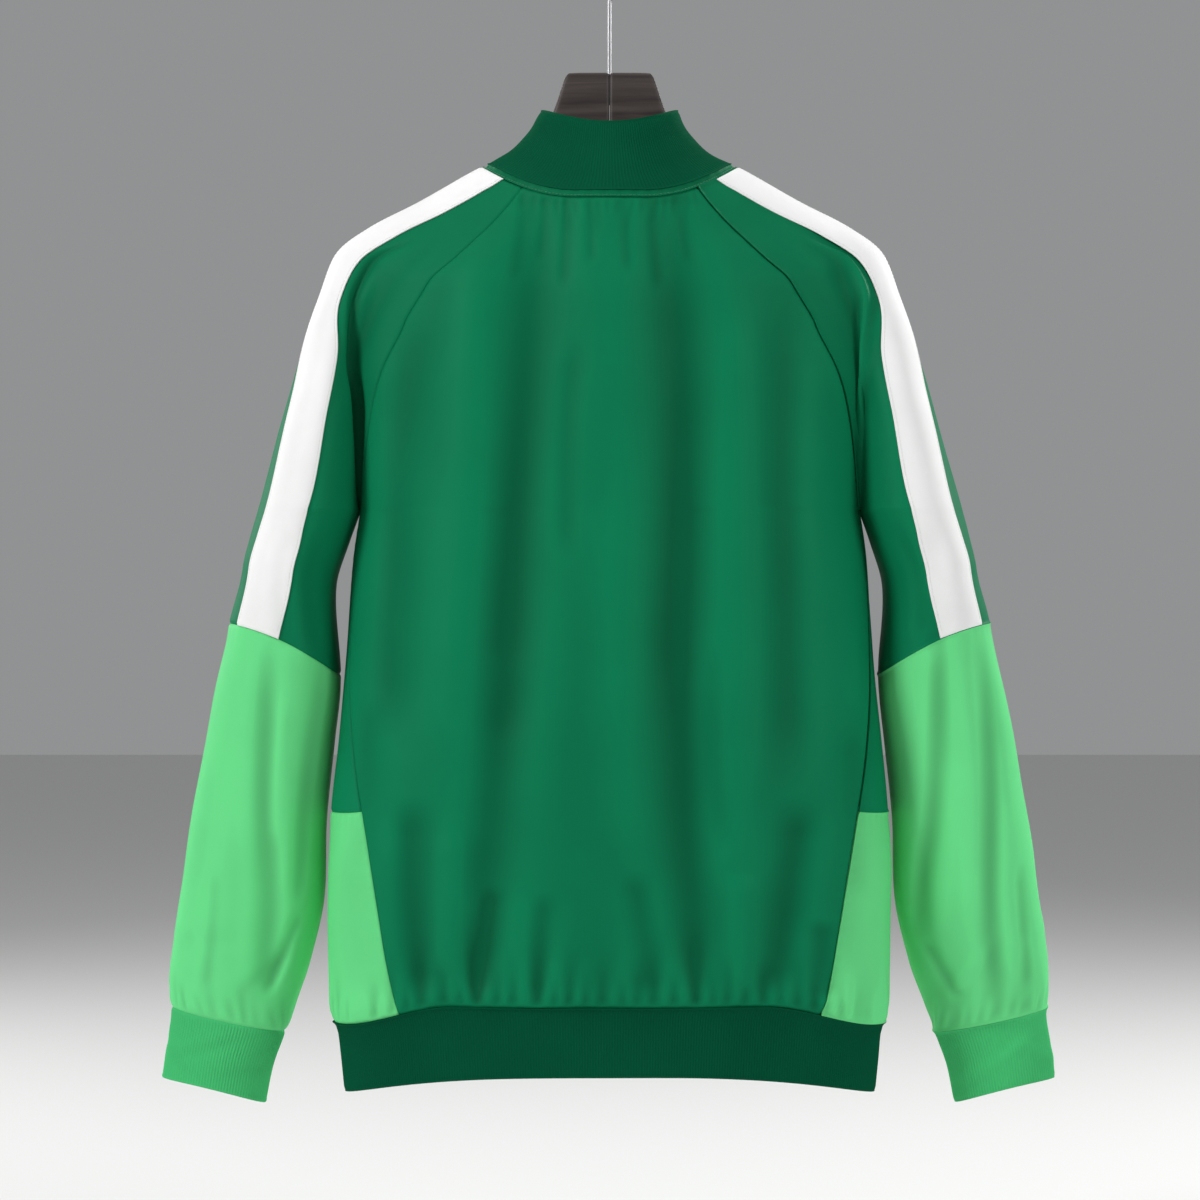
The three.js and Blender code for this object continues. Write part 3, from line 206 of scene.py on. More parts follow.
# Soft folds of the torso. Each is a trough (or a ridge, where its depth is negative) from one
# place across to another, wider on one side than on the other, and bent sideways on its way.
FOLD_COLUMNS = "top_x top_drop low_x low_drop left right depth bend"
BACK_FOLDS = table(
    FOLD_COLUMNS,
    [52, 215, 80, 600, 22, 24, 8.6, 2],
    [80, 588, 97, 815, 20, 22, 7, 2],
    [89, 740, 99, 818, 9, 10, 3.2, 0],
    [-50, 215, -52, 560, 22, 24, 9, -3],
    [-52, 548, -66, 815, 22, 20, 8, 2],
    [150, 320, 168, 620, 16, 19, 5.5, 4],
    [150, 680, 144, 818, 15, 18, 6.5, 2],
    [-134, 300, -138, 640, 20, 18, 4.5, 3],
    [-143, 680, -123, 816, 17, 19, 7, -2],
    [-160, 765, -166, 820, 9, 11, 3.6, 0],
    [50, 745, 57, 819, 9, 9, 2.4, 0],
    [-20, 730, -28, 816, 11, 12, 3, -3],
    [110, 255, 124, 600, 20, 22, -3.4, -4],
    [-2, 250, -10, 720, 30, 24, -4.6, 3],
    [-96, 290, -102, 690, 24, 20, -3.6, -4],
    [-100, 730, -104, 812, 12, 13, -3, 0],
    [120, 700, 122, 800, 13, 12, -2.6, 0],
    [27, 330, 33, 480, 8, 9, 1.6, 3],
    [-80, 560, -86, 700, 9, 10, 1.4, 3],
    [184, 600, 190, 720, 10, 12, 2.5, 0],
    [-184, 620, -190, 740, 12, 12, 2.4, 0],
    [63, 205, 72, 275, 5, 6, 1.2, 0],
    [48, 205, 52, 258, 4, 5, 1, 0],
    [32, 205, 35, 280, 4, 5, 1.5, 0],
    [15, 205, 14, 262, 4, 4, 1.1, 0],
    [-11, 205, -14, 270, 5, 4, 1.3, 0],
    [-31, 205, -37, 282, 5, 5, 1.5, 0],
    [-52, 205, -60, 262, 4, 5, 1.1, 0],
)
FRONT_FOLDS = table(
    FOLD_COLUMNS,
    [56, 290, 78, 800, 17, 24, 5, 4],
    [-60, 290, -74, 800, 22, 17, 5, -5],
    [118, 330, 136, 700, 16, 20, 4.5, 3],
    [-122, 330, -130, 740, 20, 16, 4.5, 4],
    [110, 690, 122, 815, 12, 16, 4, -2],
    [-104, 700, -112, 815, 15, 12, 4, 3],
    [88, 320, 104, 640, 18, 14, -2.4, -3],
    [-92, 340, -100, 660, 14, 18, -2.4, 3],
    [30, 420, 36, 600, 9, 11, 1.8, 4],
    [-28, 560, -36, 760, 10, 10, 2.2, -4],
    [162, 400, 168, 560, 10, 13, 3, 2],
    [-160, 380, -170, 600, 12, 12, 3, -2],
    [150, 640, 158, 790, 12, 12, 3, 0],
    [-150, 660, -160, 800, 10, 13, 3.2, 0],
    [34, 700, 30, 806, 9, 9, 2.4, 2],
    [66, 262, 74, 312, 5, 6, 1.6, 0],
    [46, 258, 52, 300, 5, 5, 1.3, 0],
    [-50, 260, -58, 308, 5, 5, 1.5, 0],
    [-70, 262, -80, 298, 5, 6, 1.4, 0],
)
FOLDS = {1: BACK_FOLDS, -1: FRONT_FOLDS}

# Folds of the sleeves, placed by their share of the ring's half-width from inner (-1) to outer (1).
# side 0 is on both sleeves, and face 0 on the back and the front.
SLEEVE_FOLDS = table(
    "side face top_at top_drop low_at low_drop width depth",
    [0, 0, 0.1, 470, -0.1, 560, 0.24, 3],
    [1, 1, 0.15, 572, -0.5, 815, 0.22, 5.5],
    [1, 1, -0.74, 555, -0.66, 745, 0.13, 4],
    [1, 1, 0.62, 600, 0.5, 800, 0.2, -1.6],
    [1, 1, -0.2, 600, -0.3, 700, 0.12, -1.4],
    [1, 1, -0.72, 752, -0.56, 815, 0.09, 3],
    [1, 1, 0.5, 740, 0.34, 822, 0.1, 1.8],
    [-1, 1, 0, 558, -0.8, 772, 0.2, 5.5],
    [-1, 1, 0.72, 572, 0.1, 824, 0.18, 5],
    [-1, 1, 0.75, 738, 0.6, 824, 0.1, 3],
    [-1, 1, 0.34, 580, 0, 760, 0.18, -1.8],
    [-1, 1, -0.72, 775, -0.5, 820, 0.09, 2.2],
    [0, -1, 0.3, 575, 0.2, 815, 0.2, 4.5],
    [0, -1, -0.62, 560, -0.35, 812, 0.2, 4.5],
    [1, -1, 0.72, 600, 0.55, 800, 0.12, 2.6],
    [-1, -1, -0.1, 600, 0.02, 740, 0.12, -1.8],
    [-1, -1, 0.7, 700, 0.6, 815, 0.12, 2.6],
    [1, 0, -0.5, 470, -0.6, 548, 0.16, 2.6],
    [-1, 0, -0.45, 465, -0.3, 545, 0.15, 2.8],
)


# Small helpers
def mix(a, b, t):
    return a + (b - a) * t


def smooth(a, b, x):
    t = np.clip((x - a) / (b - a), 0, 1)
    return t * t * (3 - 2 * t)


def bell(x):
    return np.exp(-np.square(x))


def down_cloth(points):
    """Distances down each column of a grid, from its first row."""
    steps = np.linalg.norm(np.diff(points, axis=0), axis=2)
    return np.vstack([np.zeros((1, points.shape[1])), np.cumsum(steps, axis=0)])


def from_sides(distance):
    """Distances across a grid to its nearer side."""
    return np.minimum(distance[:, :1] - distance, distance - distance[:, -1:])


def cloth_uv(across, down):
    """The cloth's own coordinates in millimetres, across it and down it."""
    return np.stack([np.broadcast_to(across, down.shape), -down], 2)


def column(rows, at, key):
    """A smooth curve through one column of a table, with no overshoot between its rows."""
    x, y = rows[at], rows[key]
    slope = np.diff(y) / np.diff(x)
    product, total = slope[:-1] * slope[1:], slope[:-1] + slope[1:]
    inner = np.where(product > 0, 2 * product / np.where(total == 0, 1, total), 0)
    tangent = np.concatenate([slope[:1], inner, slope[-1:]])

    def read(value):
        t = np.clip(value, x[0], x[-1])
        i = np.clip(np.searchsorted(x, t, "left") - 1, 0, len(x) - 2)
        width = x[i + 1] - x[i]
        s = (t - x[i]) / width
        rest = 1 - s
        return (
            y[i] * (1 + 2 * s) * rest**2
            + y[i + 1] * s * s * (3 - 2 * s)
            + tangent[i] * width * s * rest**2
            - tangent[i + 1] * width * s * s * rest
        )

    return read


def columns(rows, at):
    curves = {key: column(rows, at, key) for key in rows if key != at}
    return lambda value: {key: read(value) for key, read in curves.items()}


class Trace:
    """A polyline that is read by the distance along it."""

    def __init__(self, points):
        self.points = points
        lengths = np.linalg.norm(np.diff(points, axis=0), axis=1)
        self.arc = np.concatenate([[0], np.cumsum(lengths)])
        self.length = self.arc[-1]

    def at(self, distance):
        d = np.clip(distance, 0, self.length)
        return np.stack([np.interp(d, self.arc, axis) for axis in self.points.T], -1)

    def distance_to_x(self, x):
        return np.interp(x, self.points[:, 0], self.arc)


# Rows of the torso, from the middle line round to the side, for the back (face 1) or front (-1)
yoke = columns(YOKE, "v")
torso = columns(TORSO, "drop")
ROW_SAMPLES = 600
VALLEY_SOFTNESS = 8
OUTSIDE_SLOPE = 2


def back_rise(s, v):
    """The back's rows rise to the shoulder: in an even curve at the neck, later at the sides."""
    at_neck = np.clip((s - 0.25) / 0.75, 0, 1) ** 2
    return mix(at_neck, smooth(0.64, 1, s), smooth(0, 0.19, v))


def front_rise(s, _):
    return smooth(0.1, 1, s)


def hem_rise(s):
    return smooth(0.55, 1, s)


def softened(points, gap, softness, valley_arc):
    """Rounds the crease at the armhole's valley."""
    reach = math.ceil(2.5 * softness / gap)
    before = points[1 : reach + 1][::-1] * (-1, 1)
    after = points[-reach - 1 : -1][::-1] * (1, -1)
    longer = np.vstack([before, points, after])
    weights = np.exp(-0.5 * (np.arange(-reach, reach + 1) * gap / softness) ** 2)
    weights /= weights.sum()
    rounded = np.stack([np.convolve(axis, weights, "valid") for axis in longer.T], 1)
    share = bell((np.arange(len(points)) * gap - valley_arc) / 30)[:, None]
    share[0] = share[-1] = 0
    return mix(points, rounded, share)


def yoke_row(v, face):
    r = yoke(v)
    depth = r["back"] if face > 0 else r["front"]
    middle_drop = r["back_drop"] if face > 0 else r["front_drop"]
    rise = back_rise if face > 0 else front_rise
    arm_half = (r["outer"] - r["arm_inner"]) / 2
    arm_centre = r["outer"] - arm_half

    def profile(x):
        s = x / r["half"]
        inside = depth * np.clip(1 - s ** r["power"], 0, None) ** r["root"]
        body = np.where(s < 1, inside, -OUTSIDE_SLOPE * (x - r["half"]))
        off = np.abs((x - arm_centre) / arm_half)
        lobe = r["arm_depth"] * np.sqrt(np.clip(1 - off * off, 0, None))
        arm = np.where(off < 1, lobe, -OUTSIDE_SLOPE * arm_half * (off - 1))
        return np.maximum(np.maximum(body, arm), 0)

    t = (1 - np.cos(np.linspace(0, math.pi, ROW_SAMPLES + 1))) / 2
    x = np.concatenate([mix(0, r["valley"], t), mix(r["valley"], r["outer"], t[1:])])
    flat = Trace(np.stack([x, profile(x)], 1))
    even = flat.points
    if v < 1:
        even = flat.at(np.linspace(0, flat.length, ROW_SAMPLES + 1))
        softness = VALLEY_SOFTNESS * math.sqrt(1 - v)
        gap = flat.length / ROW_SAMPLES
        if softness > gap:
            even = softened(even, gap, softness, flat.distance_to_x(r["valley"]))
    s = even[:, 0] / r["outer"]
    y = r["lean"] * s * s + face * even[:, 1]
    z = -mix(middle_drop, r["outer_drop"], rise(s, v))
    trace = Trace(np.stack([even[:, 0], y, z], 1))
    valley = trace.distance_to_x(r["valley"])
    return {"trace": trace, "valley": valley, "seam": valley - r["raglan"]}


def torso_row(w, face):
    r = torso(mix(ARMPIT_DROP, HEM_SIDE_DROP, w))
    depth = r["back"] if face > 0 else r["front"]
    lean = YOKE["lean"][-1] * (r["half"] / YOKE["outer"][-1]) ** 2 * (1 - smooth(0, 0.6, w))
    s = np.sin(np.linspace(0, math.pi / 2, ROW_SAMPLES + 1))
    drop = mix(ARMPIT_DROP, mix(HEM_SEAM[face], HEM_SIDE_DROP, hem_rise(s)), w)
    y = depth * np.clip(1 - s ** r["power"], 0, None) ** r["root"]
    trace = Trace(np.stack([r["half"] * s, lean * s * s + face * y, -drop], 1))
    return {"trace": trace, "valley": trace.length, "seam": trace.length - r["side_panel"]}


row_cache = {}


def row(level, face):
    """A row of the garment's ring. level 0 to 1 is the yoke, 1 to 2 the torso below the armpit."""
    key = (round(float(level), 5), face)
    if key not in row_cache:
        row_cache[key] = yoke_row(level, face) if level <= 1 else torso_row(level - 1, face)
    return row_cache[key]


def row_lengths(levels, face, key=None):
    """The lengths of rows, or the places of their seams or valleys, as a column."""
    rows = [row(v, face) for v in levels]
    return np.array([r[key] if key else r["trace"].length for r in rows])[:, None]


def fold_depth(folds, x, drop):
    depth = np.zeros_like(x)
    for top_x, top_drop, low_x, low_drop, left, right, deep, bend in zip(*folds.values()):
        t = (drop - top_drop) / (low_drop - top_drop)
        along = np.clip(t, 0, 1)
        off = x - mix(top_x, low_x, along) - bend * np.sin(math.pi * along)
        fade = smooth(-0.12, 0.12, t) * smooth(1.08, 0.86, t)
        depth += deep * fade * bell(off / np.where(off > 0, left, right))
    return depth


def cloth_points(level, face, side, arc):
    """Points of the torso or yoke at distances from the middle line."""
    r = row(level, face)
    p = r["trace"].at(arc)
    p[:, 0] *= side
    away = smooth(1, 0.82, np.clip(arc / r["valley"], 0, 1)) * smooth(0, 0.07, level)
    p[:, 1] -= face * away * fold_depth(FOLDS[face], p[:, 0], -p[:, 2])
    return p


# Rings of the sleeve below the armpit, read from the inner line to the outer line
sleeve = columns(SLEEVE, "drop")
cuff = columns(CUFF, "t")
NO_FOLDS = {}


def ring_trace(r, side, face, folds):
    a = -np.cos(np.linspace(0, math.pi, 241))
    depth = r["depth"] * np.sqrt(np.clip(1 - a * a, 0, None))
    if folds:
        for on, side_of, top_at, top_drop, low_at, low_drop, width, deep in zip(*folds.values()):
            if on in (0, side) and side_of in (0, face):
                g = (r["drop"] - top_drop) / (low_drop - top_drop)
                fade = smooth(-0.12, 0.15, g) * smooth(1.1, 0.88, g)
                middle = mix(top_at, low_at, np.clip(g, 0, 1))
                depth = depth - deep * fade * bell((a - middle) / width) * (1 - a**6)
    x = r["centre"] + r["half"] * a
    y = r["mid"] + r["shear"] * r["half"] * a + face * np.maximum(depth, 0)
    z = -r["drop"] + r["tilt"] * r["half"] * a + r["bow"] * (1 - a * a)
    return Trace(np.stack([side * x, y, z], 1))


def tube_rings(drop, side):
    r = {**sleeve(drop), "drop": drop}
    return {face: ring_trace(r, side, face, SLEEVE_FOLDS) for face in (1, -1)}


def on_rings(rings, distance):
    """Points on a sleeve's ring at signed distances from its outer line."""
    p = np.empty((len(distance), 3))
    on_back = distance >= 0
    p[on_back] = rings[1].at(rings[1].length - distance[on_back])
    p[~on_back] = rings[-1].at(rings[-1].length + distance[~on_back])
    return p


# Places on a ring are distances from its outer line: positive on the back, negative on the front
band_back = column(SLEEVE_BAND, "drop", "back")
NECK_LEVEL = 0.02
FREE_LEVEL = 0.24


def band_start(level):
    return band_back(yoke(level)["outer_drop"]) if level <= 1 else 0


def stretch_ends(level, stretch):
    back, front = row(level, 1), row(level, -1)
    back_length, front_length = back["trace"].length, front["trace"].length
    ends = {
        "back_panel": (back_length, back_length - back["seam"]),
        "side_back": (back_length - back["seam"], back_length - back["valley"]),
        "arm": (back_length - back["valley"], front["valley"] - front_length),
        "side_front": (front["valley"] - front_length, front["seam"] - front_length),
        "front_panel": (front["seam"] - front_length, ZIP_HALF_OPENING - front_length),
        "band": (band_start(level), band_start(level) - BAND_WIDTH),
    }
    return ends[stretch]


def points_at(level, side, distance):
    """Points on a ring of the torso or yoke at signed distances from its outer line."""
    p = np.empty((len(distance), 3))
    for face in (1, -1):
        on = distance >= 0 if face > 0 else distance < 0
        if on.any():
            arc = row(level, face)["trace"].length - np.abs(distance[on])
            p[on] = cloth_points(level, face, side, arc)
    return p


def first_level(distance):
    """The level of the binding's lower edge, so that the binding has one width all round."""
    trial = 0.03
    out = np.empty(len(distance))
    for i, d in enumerate(distance):
        face = 1 if d >= 0 else -1
        upper, lower = row(0, face)["trace"], row(trial, face)["trace"]
        share = 1 - abs(d) / upper.length
        apart = np.linalg.norm(upper.at(share * upper.length) - lower.at(share * lower.length))
        out[i] = trial * BINDING_WIDTH / apart
    return out


BENT_ROWS = 48


def ring_grid(levels, side, stretch, fractions):
    """Points and distances for each level and each share of a stretch. The first rows under the
    neck bend to follow the binding."""
    fine = np.linspace(0, FREE_LEVEL, BENT_ROWS + 1)
    upper = None
    points, distances = [], []
    for level in levels:
        if 0 < level < FREE_LEVEL - 1e-9:
            if upper is None:
                marks = np.array([mix(*stretch_ends(v, stretch), fractions) for v in fine])
                upper = np.array([points_at(v, side, d) for v, d in zip(fine, marks)])
                start = first_level(marks[0])
            share = (level - NECK_LEVEL) / (FREE_LEVEL - NECK_LEVEL)
            bent = start * level / NECK_LEVEL if level < NECK_LEVEL else mix(start, FREE_LEVEL, share)
            place = np.clip(bent / FREE_LEVEL * BENT_ROWS, 0, BENT_ROWS - 1e-6)
            low = place.astype(int)
            part = place - low
            at = np.arange(len(fractions))
            distances.append(mix(marks[low, at], marks[low + 1, at], part))
            points.append(mix(upper[low, at], upper[low + 1, at], part[:, None]))
        else:
            distance = mix(*stretch_ends(level, stretch), fractions)
            distances.append(distance)
            points.append(points_at(level, side, distance))
    return np.array(points), np.array(distances)


# Columns and rows: even steps, closer together near a seam
SEAM_STEPS = (0.5, 1.2, 2.2)


def fractions_between(length, gap, start=True, end=True):
    inner = np.array(SEAM_STEPS) / length
    count = max(4, int(round(length / gap)))
    even = np.linspace(0, 1, count + 1)
    low = inner[-1] * 1.6 if start else 0
    high = 1 - inner[-1] * 1.6 if end else 1
    even = mix(low, high, even)
    parts = [[0], inner] if start else []
    parts.append(even)
    parts += [(1 - inner)[::-1], [1]] if end else []
    return np.unique(np.round(np.concatenate(parts), 9))


HEM_LENGTH = HEM_SIDE_DROP - ARMPIT_DROP
COLOUR_LEVEL = 1 + (SIDE_COLOUR_DROP - ARMPIT_DROP) / HEM_LENGTH


def levels_between(low, high, gap):
    """Levels at even distances, where a yoke's level is worth 300 mm and a torso's HEM_LENGTH."""
    yoke_mm = 300
    reach = lambda v: v * yoke_mm if v <= 1 else yoke_mm + (v - 1) * HEM_LENGTH
    back = lambda d: d / yoke_mm if d <= yoke_mm else 1 + (d - yoke_mm) / HEM_LENGTH
    length = reach(high) - reach(low)
    return [back(reach(low) + f * length) for f in fractions_between(length, gap)]


# Relief along the cloth's normals
def seam_dip(edge_distance, depth=0.9, width=1.3):
    return -depth * bell(edge_distance / width)


def puckers(along, edge_distance, size=0.22, wave=9.5):
    """Small ripples that a seam's thread draws in the cloth beside it."""
    phase = 2 * math.pi * along / wave + 1.7 * np.sin(along / 23)
    reach = smooth(0, 2, edge_distance) * np.exp(-edge_distance / 7)
    return size * np.sin(phase) * reach * (0.6 + 0.4 * np.sin(along / 37 + 1))


def unevenness(a, b, size=0.45):
    """Slow, shallow waves, longer down the cloth than across it."""
    return size * (
        np.sin(a / 17.3 + 1.1 * np.sin(b / 61)) * np.sin(b / 83 + 0.7)
        + 0.6 * np.sin(a / 9.7 + 2.1 + 0.9 * np.sin(b / 39)) * np.sin(b / 47 + 2.2)
        + 0.5 * np.sin(b / 14.5 + 0.8 * np.sin(a / 29)) * np.sin(a / 41)
    )


GOLDEN = 0.618034


def gathers(along, above, places, depth, length, width=4.2):
    """Troughs that start at a gathered seam, each with its own depth, length and width."""
    relief = np.zeros_like(along)
    for i, place in enumerate(places):
        one, two, three = ((i * k * GOLDEN) % 1 for k in (1, 2, 3))
        reach = length * (0.55 + 0.75 * one)
        deep = depth * (0.6 + 0.6 * two)
        wide = width * (0.75 + 0.5 * three) + 0.07 * above
        lean = (one - 0.5) * 0.16 * above
        fade = smooth(0, 6, above) * smooth(reach, 8, above)
        relief -= deep * fade * bell((along - place - lean) / wide)
    return relief


def uneven_places(low, high, gap, shift=0.0):
    """Places at an average gap, none evenly spaced."""
    count = max(1, int(round((high - low) / gap)))
    step = (high - low) / count
    return [low + step * (i + 0.5 + 0.52 * (((i + 1) * GOLDEN + shift) % 1 - 0.5)) for i in range(count)]


GATHERS = "place height width depth"
HEM_GATHERS = {
    1: table(
        GATHERS,
        [188, 34, 5, 2.4],
        [171, 46, 5, 2.8],
        [158, 26, 4, 2.2],
        [146, 52, 6, 3],
        [127, 38, 5, 2.6],
        [114, 24, 4, 2],
        [101, 64, 5, 3.6],
        [86, 30, 4, 2.4],
        [74, 42, 5, 2.8],
        [55, 60, 5, 3.6],
        [42, 26, 4, 2.2],
        [31, 44, 4, 3],
        [18, 28, 4, 2],
        [6, 40, 6, 2.8],
        [-10, 24, 4, 2],
        [-21, 34, 5, 2.4],
        [-33, 56, 6, 3.2],
        [-49, 28, 4, 2.4],
        [-66, 62, 5, 3.8],
        [-79, 30, 4, 2.2],
        [-89, 40, 5, 2.6],
        [-103, 28, 5, 2.4],
        [-118, 36, 5, 2.8],
        [-131, 26, 4, 2],
        [-145, 44, 6, 2.8],
        [-159, 50, 6, 3.2],
        [-176, 32, 5, 2.4],
        [-190, 42, 5, 2.8],
    ),
    -1: table(
        GATHERS,
        [190, 36, 5, 2.6],
        [170, 50, 6, 3.4],
        [155, 28, 4, 2.2],
        [139, 44, 5, 3],
        [118, 60, 7, 4.2],
        [101, 30, 5, 2.4],
        [86, 42, 5, 2.8],
        [71, 54, 6, 4],
        [56, 28, 4, 2.2],
        [40, 46, 5, 3.2],
        [24, 30, 4, 2],
        [-22, 34, 4, 2.2],
        [-38, 50, 6, 3.6],
        [-55, 30, 5, 2.4],
        [-68, 44, 5, 3],
        [-85, 58, 6, 4],
        [-98, 28, 4, 2.2],
        [-117, 52, 7, 3.8],
        [-133, 32, 5, 2.4],
        [-150, 46, 5, 3],
        [-171, 30, 5, 2.6],
        [-188, 48, 6, 3.2],
    ),
}
SIDE_GATHERS = uneven_places(206, 330, 17, 0.2)


def hem_relief(face, along, above):
    """The gathers above the hem band, and the cloth's bulge over it."""
    relief = 1.6 * smooth(0, 10, above) * np.exp(-above / 24)
    for place, height, width, depth in zip(*HEM_GATHERS[face].values()):
        wide = 0.8 * width + 0.11 * above
        lean = 0.05 * above * math.copysign(1, math.sin(place))
        fade = smooth(0, 6, above) * smooth(height * 1.25, height * 0.15, above)
        relief -= depth * fade * bell((along - place - lean) / wide)
    places = SIDE_GATHERS + [-place - 5 for place in SIDE_GATHERS]
    return relief + gathers(along, above, places, 2.6, 46)


# Meshes of cloth
def grid_normals(points):
    down = np.gradient(points, axis=0)
    across = np.gradient(points, axis=1)
    n = np.cross(across, down)
    return n / np.maximum(np.linalg.norm(n, axis=2, keepdims=True), 1e-9)


def blurred(points, cells, axis):
    """Points averaged along one axis of a grid, and carried on straight past its edges."""
    reach = int(math.ceil(2.2 * cells))
    points = np.moveaxis(points, axis, 0)
    reach = min(reach, len(points) - 1)
    before = 2 * points[:1] - points[1 : reach + 1][::-1]
    after = 2 * points[-1:] - points[-reach - 1 : -1][::-1]
    longer = np.concatenate([before, points, after])
    weights = np.exp(-0.5 * (np.arange(-reach, reach + 1) / cells) ** 2)
    weights /= weights.sum()
    total = sum(w * longer[i : i + len(points)] for i, w in enumerate(weights))
    return np.moveaxis(total, 0, axis)


def hollows(points, normals):
    """How far each point lies below the cloth around it, in broad folds and in small gathers; the materials
    paint shade by this depth.
    """
    broad = blurred(blurred(points, 5, 1), 2, 0)
    near = blurred(points, 1.8, 1)
    return 0.75 * ((broad - points) * normals).sum(2) + 0.5 * ((near - points) * normals).sum(2)


class Cloth:
    """A piece of cloth: grids of points welded into one sheet, then given a wall."""

    def __init__(self, name, shade=1.0):
        self.name = name
        self.shade = shade
        self.points, self.normals, self.uvs, self.quads, self.hollow = [], [], [], [], []
        self.count = 0
        self.flat_area = 0
        self.flat_size = [0, 0]

    def add(self, points, relief, uv, normals=None):
        """Adds a grid, raised along its normals by relief."""
        rows, cols = points.shape[:2]
        n = grid_normals(points) if normals is None else normals
        number = self.count + np.arange(rows * cols).reshape(rows, cols)
        corners = (number[:-1, :-1], number[1:, :-1], number[1:, 1:], number[:-1, 1:])
        self.quads.append(np.stack([c.ravel() for c in corners], 1))
        raised = points + n * relief[..., None]
        self.points.append(raised.reshape(-1, 3))
        self.hollow.append((raised, n))
        self.normals.append(n.reshape(-1, 3))
        self.uvs.append(uv.reshape(-1, 2))
        self.count += rows * cols
        self.measure(points)

    def measure(self, points):
        across = np.diff(points, axis=1)
        down = np.diff(points, axis=0)
        cells = np.cross(across[:-1], down[:, :-1])
        self.flat_area += np.linalg.norm(cells, axis=2).sum()
        self.flat_size[0] = max(self.flat_size[0], np.linalg.norm(across, axis=2).sum(1).max())
        self.flat_size[1] += np.linalg.norm(down, axis=2).sum(0).max()

    def weld(self):
        points, normals = np.vstack(self.points), np.vstack(self.normals)
        keys = np.round(points * 200).astype(np.int64)
        _, first, index = np.unique(keys, axis=0, return_index=True, return_inverse=True)
        index = index.ravel()
        total = np.zeros((len(first), 3))
        np.add.at(total, index, normals)
        total /= np.maximum(np.linalg.norm(total, axis=1, keepdims=True), 1e-9)
        quads = np.vstack(self.quads)
        return points[first], total, index[quads], np.vstack(self.uvs)[quads], first

    def build(self, wall, material, rounding=0.3, outward=None):
        points, normals, quads, uvs, first = self.weld()
        # hollow is the depth that the materials turn into painted shade; shade scales it for each piece
        hollow = self.shade * np.concatenate([hollows(raised, n).ravel() for raised, n in self.hollow])[first]
        keep = [len(set(q)) == 4 for q in quads]
        slivers = [q for q, whole in zip(quads, keep) if not whole and len(set(q)) == 3]
        sliver_uvs = [uv for q, uv, whole in zip(quads, uvs, keep) if not whole and len(set(q)) == 3]
        quads, uvs = quads[keep], uvs[keep]
        if outward is not None and (normals * outward(points)).sum() < 0:
            normals = -normals
            hollow = -hollow
            quads, uvs = quads[:, ::-1], uvs[:, ::-1]
            slivers = [q[::-1] for q in slivers]
            sliver_uvs = [uv[::-1] for uv in sliver_uvs]
        tris = [list(dict.fromkeys(q)) for q in slivers]
        tri_uvs = [uv[[list(q).index(v) for v in t]] for q, t, uv in zip(slivers, tris, sliver_uvs)]
        n = len(points)
        edges = [quads[:, [i, (i + 1) % 4]] for i in range(4)]
        edges += [np.array(tris)[:, [i, (i + 1) % 3]] for i in range(3)] if tris else []
        edges = np.vstack(edges)
        code = edges[:, 0] * n + edges[:, 1]
        border = edges[~np.isin(code, edges[:, 1] * n + edges[:, 0])]
        p, q = border.T
        along = points[q] - points[p]
        outside = np.zeros((n, 3))
        for end in (p, q):
            away = np.cross(along, normals[end])
            away /= np.maximum(np.linalg.norm(away, axis=1, keepdims=True), 1e-9)
            np.add.at(outside, end, away)
        outside /= np.maximum(np.linalg.norm(outside, axis=1, keepdims=True), 1e-9)
        rim = np.unique(border)
        number = np.full(n, -1)
        number[rim] = 2 * n + np.arange(len(rim))
        inner = points - normals * wall
        middle = (points + inner)[rim] / 2 + outside[rim] * wall * rounding
        vertices = np.vstack([points, inner, middle]) * MM
        vertex_uv = np.zeros((n, 2))
        vertex_uv[quads.ravel()] = uvs.reshape(-1, 2)
        sides = np.vstack(
            [
                np.stack([q, p, number[p], number[q]], 1),
                np.stack([number[q], number[p], p + n, q + n], 1),
            ]
        )
        side_uv = np.tile(vertex_uv[np.stack([q, p, p, q], 1)], (2, 1, 1))
        faces = [*quads.tolist(), *(quads[:, ::-1] + n).tolist(), *sides.tolist()]
        faces += [list(t) for t in tris] + [[v + n for v in t[::-1]] for t in tris]
        corner_uv = np.concatenate([uvs.reshape(-1, 2), uvs[:, ::-1].reshape(-1, 2), side_uv.reshape(-1, 2)])
        if tris:
            loose = [np.vstack(tri_uvs), np.vstack([uv[::-1] for uv in tri_uvs])]
            corner_uv = np.concatenate([corner_uv, *loose])
        obj = add_mesh(self.name, vertices, faces, material, corner_uv * MM)
        # The hollow attribute carries the painted shade's depth to the materials
        depth = obj.data.attributes.new("hollow", "FLOAT", "POINT")
        depth.data.foreach_set("value", np.concatenate([hollow, hollow, hollow[rim]]).astype(np.float32))
        return obj


def add_mesh(name, vertices, faces, material, corner_uv=None):
    mesh = bpy.data.meshes.new(name)
    mesh.from_pydata(np.asarray(vertices).tolist(), [], faces)
    if corner_uv is not None:
        layer = mesh.uv_layers.new(name="cloth")
        layer.data.foreach_set("uv", np.asarray(corner_uv, np.float32).ravel())
    mesh.polygons.foreach_set("use_smooth", np.ones(len(mesh.polygons), bool))
    mesh.materials.append(material)
    mesh.update()
    obj = bpy.data.objects.new(name, mesh)
    bpy.context.scene.collection.objects.link(obj)
    return obj


def loft(rings):
    """Vertices and faces through rings of points, closed at both ends."""
    count = len(rings[0])
    faces = []
    for start in range(0, (len(rings) - 1) * count, count):
        for k in range(count):
            a, b = start + k, start + (k + 1) % count
            faces.append([a, b, b + count, a + count])
    faces.append(list(range(count))[::-1])
    faces.append([(len(rings) - 1) * count + k for k in range(count)])
    return np.vstack(rings), faces


